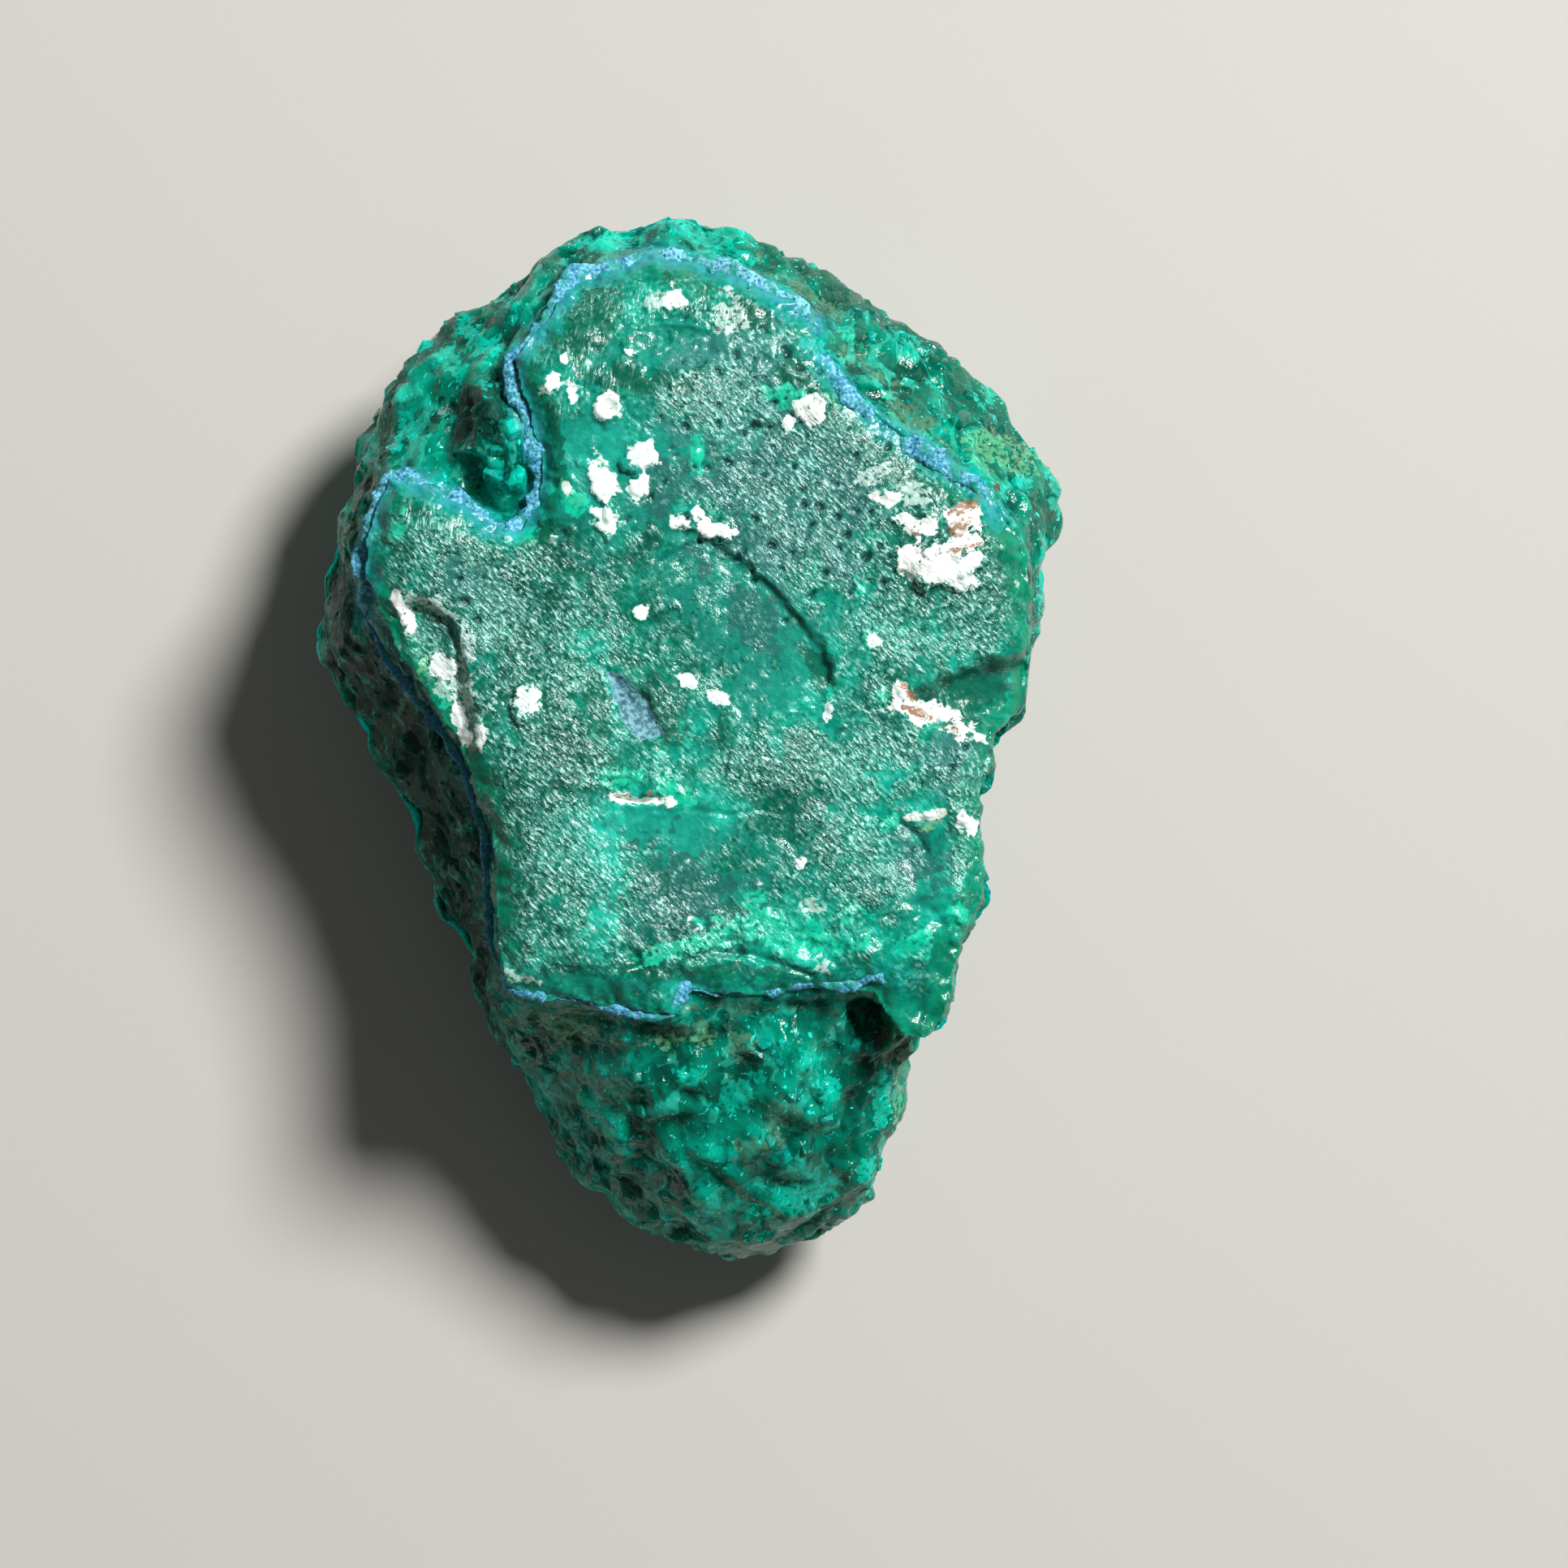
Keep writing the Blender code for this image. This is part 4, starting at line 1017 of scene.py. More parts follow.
@dataclass(frozen=True)
class SkinFinish:
    """Dioptase, grown smooth, under a frost of tiny crystals.

    Where it is calm it is teal and looks wet; elsewhere fine crests, or fibres in a few
    patches, all run one way and glitter pale against the green, so that the eye reads a
    velvety, sparkling skin. The pale crests are partly frost and partly painted glints, set
    across the way the light falls, and the dark troughs between them are painted shade; the
    pale veil is partly frost and partly painted sheen. Glint patches are painted highlights,
    and the dark in the pits is painted shade.
    """

    tones: Stops = (
        (0.1, "#004838"), (0.4, "#006c56"), (0.65, "#009078"), (0.9, "#1cb8a0"),
    )
    tone_range: tuple[float, float] = (0.4, 1.4)
    tone_shares: tuple[float, ...] = (1.0, 0.5, 0.3)
    # Deep patches are partly painted shade, in the groove inside the upper right edge and in the
    # notch; bright ones are painted glow of light shining through.
    layers: Layers = (
        ("calm", "#1c8c7c", 0.5), ("pitted", "#3a7c76", 0.6), ("dusky", "#205a54", 0.7),
        ("deep", "#04563f", 0.8), ("rim", "#04805e", 0.6), ("lime", "#8fd08a", 0.6),
        ("bright", "#0cc8a0", 0.8), ("seamside", "#1c9c98", 0.5), ("seamcore", "#3c9cb4", 0.45),
    )
    # Crusts and the window's colours; the glint patches here are painted highlights, and the pale
    # ones are white crust and partly painted glare.
    crusts: Layers = (
        ("window", "#74aab8", 0.95), ("specks", "#2c5c68", 0.85), ("grey", "#b8d4ca", 0.8),
        ("glint", "#eaf6f0", 0.9), ("pale", "#f2f5ee", 0.9), ("brown", "#8a5632", 0.85),
    )
    # Painted shade in the troughs, and a veil and crests that are partly frost and partly painted
    # sheen and glints.
    trough: Coat = ("#04503e", 0.48, 0.36, 0.75)
    veil: Coat = ("#74cfc0", 0.30, 0.80, 0.45)
    crest: Coat = ("#c4f6ea", 0.53, 0.68, 0.8)
    # The pits' dark colour is painted shade.
    hole: str = "#08403c"
    crest_mm: float = 0.115
    crest_turn: float = -45.0
    crest_stretch: float = 2.4
    crest_rise_mm: float = 0.12
    fibre_mm: float = 0.12
    fibre_turn: float = 82.0
    fibre_stretch: float = 6.0
    crumb_mm: float = 0.2
    crumb_rise_mm: float = 0.03
    dull_range: tuple[float, float] = (0.35, 0.7)
    roughness: tuple[float, float] = (0.16, 0.34)
    window_roughness: float = 0.4
    light_in: float = 0.3
    light_reach_mm: float = 0.8
    shine: float = 0.25

    def material(self) -> bpy.types.Material:
        """Draw up the finish.

        Returns:
            The finish as a material.
        """
        sheet = NodeSheet("dioptase_frosted_skin")
        frost, shade, hole, window, fibrous = (
            sheet.add("ShaderNodeAttribute", {"attribute_name": name}).outputs["Fac"]
            for name in ("frost", "shade", "hole", "window", "fibrous"))
        threads = []
        for size, turn, stretch in (
                (self.crest_mm, self.crest_turn, self.crest_stretch),
                (self.fibre_mm, self.fibre_turn, self.fibre_stretch)):
            turned = sheet.add("ShaderNodeMapping", TURNED, {
                "Vector": sheet.place, "Rotation": (0.0, 0.0, math.radians(turn)),
                "Scale": (stretch, 1.0, 1.0)})
            threads.append(sheet.add("ShaderNodeTexNoise", None, {
                "Vector": turned, "Scale": 1.0 / (size * MM), "Detail": 2.0}))
        grain = sheet.add("ShaderNodeMix", None, {0: fibrous, 2: threads[0], 3: threads[1]})
        crumbs = sheet.add("ShaderNodeTexNoise", None, {
            "Vector": sheet.place, "Scale": 1.0 / (self.crumb_mm * MM), "Detail": 3.0})
        tone = sheet.add("ShaderNodeMapRange", None, {
            "Value": sheet.weigh(*zip((shade, crumbs, grain), self.tone_shares)),
            "From Min": self.tone_range[0], "From Max": self.tone_range[1]})
        colour = sheet.add("ShaderNodeValToRGB", None, {"Fac": tone})
        set_stops(colour, self.tones)
        colour = sheet.lay_patches(colour, self.layers, crumbs)
        for source, coat in ((grain, self.trough), (crumbs, self.veil), (grain, self.crest)):
            colour = sheet.coat(colour, source, coat, frost)
        colour = sheet.lay_patches(colour, self.crusts, crumbs)
        colour = sheet.add("ShaderNodeMix", COLOURS,
                           {0: hole, 6: colour, 7: linear_colour(self.hole)})
        gloss = sheet.add("ShaderNodeMapRange", None, {
            "Value": crumbs, "From Min": self.dull_range[0], "From Max": self.dull_range[1],
            "To Min": self.roughness[0], "To Max": self.roughness[1]})
        crests = sheet.add("ShaderNodeMath", PRODUCT, {0: grain, 1: frost})
        sheet.let_light_in(self.light_in, self.light_reach_mm, self.shine)
        return sheet.finish(colour, sheet.weigh((gloss, 1.0), (window, self.window_roughness)),
                            sheet.weigh((crests, self.crest_rise_mm * MM),
                                        (crumbs, self.crumb_rise_mm * MM)))


@dataclass(frozen=True)
class SeamFinish:
    """Blue copper silicate, fibrous: chalky blue with paler threads and no gloss.

    The threads are coarser than the real, hair-fine ones, so that they can be seen.
    """

    threads: float
    blue: str = "#3490b4"
    pale: Coat = ("#80cade", 0.46, 0.64, 1.0)
    dark: Coat = ("#0c4c60", 0.44, 0.32, 1.0)
    green: Coat = ("#08907e", 0.48, 0.68, 1.0)
    fewer_threads: float = 0.12
    thread_mm: float = 0.14
    thread_rise_mm: float = 0.07
    tuft_mm: float = 0.5
    dull_range: tuple[float, float] = (0.3, 0.7)
    roughness: tuple[float, float] = (0.5, 0.8)

    def material(self) -> bpy.types.Material:
        """Draw up the finish.

        Returns:
            The finish as a material.
        """
        sheet = NodeSheet("blue_fibrous_copper_silicate")
        fibre, tufts = (
            sheet.add("ShaderNodeTexNoise", None,
                      {"Vector": sheet.place, "Scale": 1.0 / (size * MM), "Detail": 4.0})
            for size in (self.thread_mm, self.tuft_mm))
        shift = self.fewer_threads * (1.0 - 2.0 * self.threads)
        code, start, full, cover = self.pale
        colour = sheet.coat(linear_colour(self.blue), fibre,
                            (code, start + shift, full + shift, cover))
        for source, coat in ((fibre, self.dark), (tufts, self.green)):
            colour = sheet.coat(colour, source, coat)
        rough = sheet.add("ShaderNodeMapRange", None, {
            "Value": fibre, "From Min": self.dull_range[0], "From Max": self.dull_range[1],
            "To Min": self.roughness[0], "To Max": self.roughness[1]})
        return sheet.finish(colour, rough, sheet.weigh((fibre, self.thread_rise_mm * MM)))


# ---------------------------------------------------------------- the stone's form


@dataclass(frozen=True)
class StoneForm:
    """Heights of the stone's upper and lower surface over the plan.

    A droop is where the plateau starts to fall and how fast; a wall is the width of a step.
    """

    top_droop: tuple[float, float] = (12.0, 0.045)
    left_droop: tuple[float, float] = (5.0, 0.07)
    right_droop: tuple[float, float] = (9.0, 0.02)
    rim_width: float = 1.2
    rim_fall: float = 0.5
    groove_width: float = 0.8
    hollow_overlap: float = 0.15
    basin_ledge: tuple[float, float] = (1.7, 7.4)
    basin_run: tuple[float, float] = (-0.8, -0.6)
    basin_depth: float = 0.3
    basin_wall: float = 0.2
    basin_reach: float = 4.6
    notch_start: float = 8.0
    notch_slope: float = 0.35
    notch_depth: float = 1.8
    notch_wall: float = 0.5
    wedge_rise: float = 1.9
    wedge_wall: float = 0.8
    soft_foot: float = 0.2
    gap_place: tuple[float, float] = (7.15, -10.8)
    gap_reach: tuple[float, float] = (0.40, 0.65)
    gap_depth: float = 1.6
    outline_rounding: float = 0.8
    sunk: float = 0.35
    underside_height: float = 0.6
    underside_reach: float = 3.2
    underside_sharpness: float = 0.9
    underside_steepness: float = 1.6
    sag: float = 1.5
    sag_run: tuple[float, float] = (2.0, 9.0)

    def ledge(self, x: np.ndarray, y: np.ndarray) -> np.ndarray:
        """Give the plateau's height without its swells: it falls towards top and left.

        Args:
            x: places along X.
            y: places along Y.

        Returns:
            The height at each place.
        """
        top = self.top_droop[1] * np.clip(y - self.top_droop[0], 0.0, None) ** 2
        left = self.left_droop[1] * np.clip(-x - self.left_droop[0], 0.0, None)
        return PLATEAU_HEIGHT - (top + left)

    def plateau(self, x: np.ndarray, y: np.ndarray) -> np.ndarray:
        """Give the plateau's height, with its swells, hollows and notch.

        Args:
            x: places along X.
            y: places along Y.

        Returns:
            The height at each place.
        """
        height = self.ledge(x, y)
        height -= self.right_droop[1] * np.clip(x - self.right_droop[0], 0.0, None) ** 2
        for centre_x, centre_y, reach, rise in SWELLS:
            distance = ((x - centre_x) ** 2 + (y - centre_y) ** 2) / reach ** 2
            height += rise * np.exp(-distance)
        for outline, depth, wall in HOLLOWS:
            height -= depth * smooth_step(-self.hollow_overlap, wall,
                                          edge_distance(x, y, outline))
        run = ((x - self.basin_ledge[0]) * self.basin_run[0]
               + (y - self.basin_ledge[1]) * self.basin_run[1])
        basin = self.basin_depth * np.clip(1.0 - run / self.basin_reach, 0.0, 1.0)
        height -= basin * smooth_step(-self.hollow_overlap, self.basin_wall,
                                      edge_distance(x, y, BASIN))
        to_rim = edge_distance(x, y, PLATEAU)
        height -= self.rim_fall * np.clip(1.0 - to_rim / self.rim_width, 0.0, 1.0) ** 2
        groove = np.exp(-((to_rim - self.groove_width) / self.groove_width) ** 2)
        height -= groove * by_place(x, y, GROOVE_DEPTHS)
        fall = np.clip(self.notch_slope * (x - self.notch_start), 0.0, self.notch_depth)
        height -= fall * smooth_step(-self.soft_foot, self.notch_wall,
                                     edge_distance(x, y, NOTCH))
        return height

    def upper(self, x: np.ndarray, y: np.ndarray) -> np.ndarray:
        """Give the height of the crystals' upper surface, a little sunk under the plateau.

        Args:
            x: places along X.
            y: places along Y.

        Returns:
            The height at each place.
        """
        to_outline = np.clip(edge_distance(x, y, OUTLINE), 0.0, None)
        to_plateau = edge_distance(x, y, PLATEAU)
        beyond = np.clip(-to_plateau, 1e-6, None)
        girth = by_place(x, y, GIRTH_HEIGHTS)
        ledge = self.ledge(x, y) - by_place(x, y, EDGE_DROPS)
        rise = (to_outline / (to_outline + beyond)) ** by_place(x, y, FLANK_BULGES)
        flank = girth + (ledge - girth) * rise
        flank += self.wedge_rise * smooth_step(-self.soft_foot, self.wedge_wall,
                                               edge_distance(x, y, WEDGE))
        across = (x - self.gap_place[0]) / self.gap_reach[0]
        along = (y - self.gap_place[1]) / self.gap_reach[1]
        flank -= self.gap_depth * np.exp(-across ** 2 - along ** 2)
        rounded = np.sqrt(np.clip(to_outline / self.outline_rounding, 0.0, 1.0))
        plateau = girth + (self.plateau(x, y) - self.sunk - girth) * rounded
        return flank + (plateau - flank) * smooth_step(-self.soft_foot, self.soft_foot,
                                                       to_plateau)

    def lower(self, x: np.ndarray, y: np.ndarray) -> np.ndarray:
        """Give the height of the underside.

        Args:
            x: places along X.
            y: places along Y.

        Returns:
            The height at each place.
        """
        to_outline = np.clip(edge_distance(x, y, OUTLINE), 0.0, None)
        inward = (to_outline / self.underside_reach) ** self.underside_sharpness
        share = np.exp(-inward * self.underside_steepness)
        sag = self.sag * smooth_step(*self.sag_run, to_outline)
        return by_place(x, y, GIRTH_HEIGHTS) * share + self.underside_height - sag

    def reach(self, angles: np.ndarray, outline: Points) -> np.ndarray:
        """Measure how far from the middle a closed outline is first met.

        Args:
            angles: the directions to look in.
            outline: the outline's corners.

        Returns:
            The distance in each direction.
        """
        nearest = np.full(angles.shape, np.inf)
        cos, sin = np.cos(angles), np.sin(angles)
        for (ax, ay), (bx, by) in zip(outline, outline[1:] + outline[:1]):
            turn = cos * (by - ay) - sin * (bx - ax)
            safe = np.where(np.abs(turn) < 1e-9, 1e-9, turn)
            distance = (ax * (by - ay) - ay * (bx - ax)) / safe
            along = (ax * sin - ay * cos) / safe
            hit = (distance > 0.0) & (along >= -1e-6) & (along <= 1.0 + 1e-6)
            nearest = np.where(hit, np.minimum(nearest, distance), nearest)
        return nearest

    def grain(self, points: np.ndarray) -> np.ndarray:
        """Return how far crystal faces stand out of the bare form, by place."""
        return sum(relief * (crystal_faces(points, size, seed) - MEAN_RELIEF)
                   for size, relief, seed in GRAINS)


# ---------------------------------------------------------------- the pieces


@dataclass
class CrystalCourse:
    """One course of the broken crystals: a ring round the stone between two heights.

    A section of the stone runs from under the plateau's rim over the flank to the girth, and
    on under the stone to its middle. A course covers a part of every section, and an end
    that meets another piece is tucked in behind it. The relief fades under the plateau.
    """

    form: StoneForm
    name: str
    turns: int
    rings: int
    under: bool
    rounding: int
    under_rim: float = 1.4
    overlap: float = 2.2
    tuck: float = 0.4
    top_tuck: float = 1.2
    end_rings: int = 4
    fine_top: int = 130
    fine_low: int = 90
    crowding: float = 1.6
    smallest: float = 0.25
    least_inner: float = 1.0
    outline_share: float = 0.9995
    rim_spread: int = 12
    rim_rounding: int = 20
    covered: tuple[float, float] = (-1.0, -0.2)
    cover_depth: tuple[float, float] = (-1.6, -0.8)
    seen_above_girth: tuple[float, float] = (-1.0, 1.0)

    def sections(self, angles: np.ndarray) -> np.ndarray:
        """Draw the course's bare sections, evenly divided along their length.

        Args:
            angles: the direction of each section.

        Returns:
            Points of shape (sections, rings, 3).
        """
        outer = self.form.reach(angles, OUTLINE) * self.outline_share
        inner = self.form.reach(angles, PLATEAU)
        spread = range(-self.rim_spread, self.rim_spread + 1)
        nearest = np.min([np.roll(inner, k) for k in spread], axis=0)
        inner = rounded_ring(np.maximum(nearest - self.under_rim, self.least_inner),
                             self.rim_rounding)
        top_share = np.linspace(1.0, 0.0, self.fine_top) ** self.crowding
        low_share = np.linspace(0.0, 1.0, self.fine_low)[1:] ** self.crowding
        top_r = outer[:, None] - (outer - inner)[:, None] * top_share
        low_r = outer[:, None] - (outer - self.smallest)[:, None] * low_share
        cos, sin = np.cos(angles)[:, None], np.sin(angles)[:, None]
        top_z = self.form.upper((top_r * cos).ravel(), (top_r * sin).ravel())
        low_z = self.form.lower((low_r * cos).ravel(), (low_r * sin).ravel())
        top_z = top_z.reshape(top_r.shape)
        low_z = np.minimum(low_z.reshape(low_r.shape), top_z[:, -1:])
        r = np.concatenate([top_r, low_r], axis=1)
        z = np.concatenate([top_z, low_z], axis=1)
        steps = np.hypot(np.diff(r, axis=1), np.diff(z, axis=1))
        length = np.concatenate([np.zeros((len(r), 1)), np.cumsum(steps, axis=1)], axis=1)
        girth = length[:, self.fine_top - 1]
        low = girth + 0.5 * self.overlap if self.under else np.zeros(len(r))
        high = length[:, -1] if self.under else girth + 1.5 * self.overlap
        even = low[:, None] + (high - low)[:, None] * np.linspace(0.0, 1.0, self.rings)
        new_r, new_z = (
            rounded_ring(np.stack([np.interp(*row) for row in zip(even, length, values)]),
                         self.rounding)
            for values in (r, z))
        return np.stack([new_r * cos, new_r * sin, new_z], axis=2)

    def bent_grid(self) -> bpy.types.Mesh:
        """Bend a grid round the stone and join it to itself.

        Returns:
            The bare mesh, with the number of its ring stored for each vertex.
        """
        bm = bmesh.new()
        size = Matrix.Diagonal((self.turns, self.rings - 1, 1.0, 1.0))
        middle = Matrix.Translation((0.5 * self.turns, 0.5 * (self.rings - 1), 0.0))
        bmesh.ops.create_grid(bm, x_segments=self.turns, y_segments=self.rings - 1, size=0.5,
                              matrix=middle @ size)
        sections = self.sections(np.arange(self.turns) * (2.0 * math.pi / self.turns))
        ring_layer = bm.verts.layers.float.new("ring")
        for vert in bm.verts:
            turn, ring = round(vert.co.x) % self.turns, round(vert.co.y)
            vert.co = sections[turn, ring]
            vert[ring_layer] = ring
        bmesh.ops.remove_doubles(bm, verts=bm.verts, dist=1e-6)
        bmesh.ops.holes_fill(bm, edges=[edge for edge in bm.edges if edge.is_boundary])
        return new_mesh(self.name, bm)

    def mesh(self) -> bpy.types.Mesh:
        """Make the course's mesh.

        Returns:
            The mesh, with its crystal faces and the masks that its finish reads.
        """
        mesh = self.bent_grid()
        points = read_rows(mesh.vertices, "co")
        ring = take_mask(mesh, "ring")
        normals = read_rows(mesh.vertex_normals, "vector")
        shown = ring > self.rings // 2 if self.under else ring < self.rings // 3
        if (np.sum(normals[shown, 2]) > 0.0) == self.under:
            mesh.flip_normals()
            normals = read_rows(mesh.vertex_normals, "vector")
        x, y, z = points.T
        relief = self.form.grain(points)
        over = smooth_step(*self.covered, edge_distance(x, y, PLATEAU))
        near_top = smooth_step(*self.cover_depth, z - self.form.plateau(x, y))
        top_end = smooth_step(0, self.end_rings, ring)
        low_end = smooth_step(self.rings - 1, self.rings - 1 - self.end_rings, ring)
        tied = 1.0 if self.under else top_end
        points = points + normals * (relief * tied * (1.0 - over * near_top))[:, None]
        hidden = self.tuck * (1.0 - (top_end if self.under else low_end))
        points -= normals * hidden[:, None]
        if self.under:
            points[:, 2] = np.maximum(points[:, 2], BREAK_HEIGHT)
        else:
            points[:, 2] -= self.top_tuck * (1.0 - top_end)
        set_points(mesh, points)
        # The relief is stored as tone: low places, the clefts between tips, come out darker, as
        # painted shade.
        set_mask(mesh, "tone", relief)
        seen = smooth_step(*self.seen_above_girth, z - by_place(x, y, GIRTH_HEIGHTS))
        set_patch_masks(mesh, points, seen * (0.0 if self.under else 1.0))
        return mesh

    def build(self, material: bpy.types.Material) -> bpy.types.Object:
        """Return the finished piece."""
        return finish_piece(self.name, self.mesh(), material)


@dataclass
class GlassySkin:
    """The smooth plateau: a rippled glassy sheet, thick enough to bed into the crystals."""

    form: StoneForm
    name: str = "glassy_skin"
    spacing: float = 0.083
    margin: float = 0.4
    trim: float = -0.1
    trim_waves: Waves = ((0.10, 0.7, 31), (0.05, 0.3, 32))
    rim_smoothings: int = 4
    thickness: float = 2.1
    rim_rows: tuple[float, ...] = (0.06, 0.14, 0.24, 0.36, 0.5, 0.65, 0.82, 1.0)
    wall_start: float = 0.3
    wall_waves: Waves = ((0.28, 0.9, 86), (0.112, 0.35, 88))
    ragged: Waves = ((0.20, 0.8, 36), (0.12, 0.3, 38))
    ripples: Waves = ((0.022, 0.30, 21), (0.035, 0.62, 23))
    calming: float = 0.8
    rolls: Waves = ((0.06, 1.3, 24), (0.09, 2.9, 25))
    raised: tuple[tuple[Patches, float, Waves], ...] = (
        (PALE, 0.08, ((0.09, 0.5, 26), (0.05, 0.25, 27))),
        (BRIGHT, 0.06, ((0.05, 0.4, 29),)),
        (LUMPY, 0.0, ((0.20, 1.3, 33), (0.10, 0.6, 34), (0.03, 0.3, 35))),
    )
    crack_wander: Waves = ((0.05, 0.4, 28),)
    pit_cell: float = 0.7
    pit_depth: float = 0.16
    pit_wander: Waves = ((0.12, 0.35, 95),)
    pit_radii: tuple[float, float] = (0.08, 0.34)
    pit_rarity: float = 2.5
    pit_fade: tuple[float, float] = (1.0, 0.35)
    pitted_fade: tuple[float, float] = (0.2, 0.7)
    pit_seeds: tuple[int, int, int] = (91, 92, 93)
    bubble_place: tuple[float, float] = (-3.0, 12.7)
    bubble_radius: float = 0.42
    bubble_rise: float = 0.16
    bubble_dip: float = 0.24
    bubble_wall: float = 0.14
    light_turn: float = 45.0
    glint_slope: float = 0.14
    glint_fade: tuple[float, float] = (0.35, 0.6)
    rim_fade: tuple[float, float] = (1.1, 0.3)
    rim_wander: float = 0.35
    frost: float = 0.34
    rim_frost: float = -0.4
    frost_waves: Waves = ((0.25, 1.4, 51), (0.38, 0.5, 52), (0.20, 0.25, 50))
    frost_shares: tuple[tuple[Patches, float], ...] = (
        (FROSTED, 0.50), (CALM, -0.4), (LUMPY, -0.3),
    )
    shade: float = 0.56
    frosted_shade: float = -0.20
    shade_waves: Waves = tuple(
        (0.28 * 0.7 ** k, 3.4 * 0.45 ** k, 53 + k) for k in range(4))
    wall_shade: float = -0.1
    wall_shade_waves: Waves = ((0.35, 0.8, 58),)
    window_fade: tuple[float, float] = (-0.05, 0.12)
    window_wander: float = 0.08
    speck_share: float = 0.55

    def flat_sheet(self) -> bmesh.types.BMesh:
        """Lay out a fine flat grid and trim it to the plateau's ragged edge.

        Returns:
            The sheet, with one even edge all round.
        """
        corners = np.array(PLATEAU)
        low, high = corners.min(axis=0) - self.margin, corners.max(axis=0) + self.margin
        middle, size = (low + high) / 2.0, high - low
        columns, rows = (size / self.spacing).astype(int)
        bm = bmesh.new()
        place = Matrix.Translation((*middle, 0.0)) @ Matrix.Diagonal((*size, 1.0, 1.0))
        bmesh.ops.create_grid(bm, x_segments=columns, y_segments=rows, size=0.5, matrix=place)
        centres = np.array([face.calc_center_median() for face in bm.faces])
        inside = edge_distance(centres[:, 0], centres[:, 1], PLATEAU)
        inside += swell(centres, self.trim_waves)
        bm.faces.ensure_lookup_table()
        outer = [bm.faces[index] for index in np.flatnonzero(inside < self.trim)]
        bmesh.ops.delete(bm, geom=outer, context="FACES")
        pinched = True
        while pinched:
            pinched = [vert for vert in bm.verts
                       if sum(edge.is_boundary for edge in vert.link_edges) > 2]
            bmesh.ops.delete(bm, geom=list({vert.link_faces[0] for vert in pinched}),
                             context="FACES")
        rim = [vert for vert in bm.verts if vert.is_boundary]
        for _ in range(self.rim_smoothings):
            bmesh.ops.smooth_vert(bm, verts=rim, factor=0.5, use_axis_x=True,
                                  use_axis_y=True, use_axis_z=False)
        return bm

    def slab(self) -> bpy.types.Mesh:
        """Give the flat sheet rows for its wall, and a floor.

        Returns:
            The closed mesh, still flat, with how far it is to be lowered for each vertex.
        """
        bm = self.flat_sheet()
        layer = bm.verts.layers.float.new("lowered")
        rim = [edge for edge in bm.edges if edge.is_boundary]
        for share in self.rim_rows:
            wall = bmesh.ops.extrude_edge_only(bm, edges=rim)["geom"]
            rim = [item for item in wall if isinstance(item, bmesh.types.BMEdge)]
            for vert in {vert for edge in rim for vert in edge.verts}:
                vert[layer] = share * self.thickness
        bmesh.ops.holes_fill(bm, edges=rim)
        bmesh.ops.recalc_face_normals(bm, faces=bm.faces)
        return new_mesh(self.name, bm)

    def holes(self, points: np.ndarray, pitted: np.ndarray) -> np.ndarray:
        """Scatter small pits, one in each cell of the plan.

        Args:
            points: flat places in millimetres, one row each.
            pitted: how far each place lies where the pits are.

        Returns:
            How deep each place lies in a pit, from 0 to 1.
        """
        scaled = (points + sway(points, self.pit_wander, 3)) * FLAT / self.pit_cell
        low = np.floor(scaled)
        hole = np.zeros(len(points))
        least, spread = self.pit_radii
        for step in np.ndindex(3, 3):
            cell = low + np.array([step[0] - 1.0, step[1] - 1.0, 0.0])
            shift_x, shift_y, size = (lattice_random(cell, seed) for seed in self.pit_seeds)
            far = np.hypot(*(scaled - cell)[:, :2].T - (shift_x, shift_y))
            radius = least + spread * size ** self.pit_rarity
            hole = np.maximum(hole, smooth_step(*self.pit_fade, far / radius))
        return hole * smooth_step(*self.pitted_fade, pitted)

    def relief(self, points: np.ndarray, torn: np.ndarray, hole: np.ndarray) -> np.ndarray:
        """Raise ripples, crusts, lumps, cracks, pits and a bubble on the skin.

        Args:
            points: flat places in millimetres, one row each.
            torn: the shift of the patches' ragged edges at each place.
            hole: how deep each place lies in a pit.

        Returns:
            The rise of each place.
        """
        x, y = points[:, 0], points[:, 1]
        calm = patch_cover(points, CALM, torn)
        rise = swell(points, self.ripples) * (1.0 - self.calming * calm)
        rise += swell(points, self.rolls) - self.pit_depth * hole
        for patches, base, waves in self.raised:
            rise += patch_cover(points, patches, torn) * (base + swell(points, waves))
        for route, half_width, height in CRACKS:
            near = line_distance(x, y, route) + swell(points, self.crack_wander)
            rise += height * np.exp(-(near / half_width) ** 2)
        far = np.hypot(x - self.bubble_place[0], y - self.bubble_place[1])
        rise += self.bubble_rise * np.exp(-((far - self.bubble_radius) / self.bubble_wall) ** 2)
        return rise - self.bubble_dip * np.exp(-(far / self.bubble_wall) ** 2)

    def tip_glints(self, points: np.ndarray, torn: np.ndarray) -> np.ndarray:
        """Tip small faces of the skin towards the light.

        Args:
            points: flat places in millimetres, one row each.
            torn: the shift of the patches' ragged edges at each place.

        Returns:
            The rise of each place.
        """
        x, y = points[:, 0], points[:, 1]
        turn = math.radians(self.light_turn)
        rise = np.zeros(len(points))
        for glint in GLINTS:
            cover = patch_cover(points, (glint,), torn)
            run = (x - glint[0]) * math.cos(turn) + (y - glint[1]) * math.sin(turn)
            low_edge = np.max(run, where=cover > 0.5, initial=0.0)
            face = self.glint_slope * np.clip(low_edge - run, 0.0, None)
            rise = np.maximum(rise, face * smooth_step(*self.glint_fade, cover))
        return rise

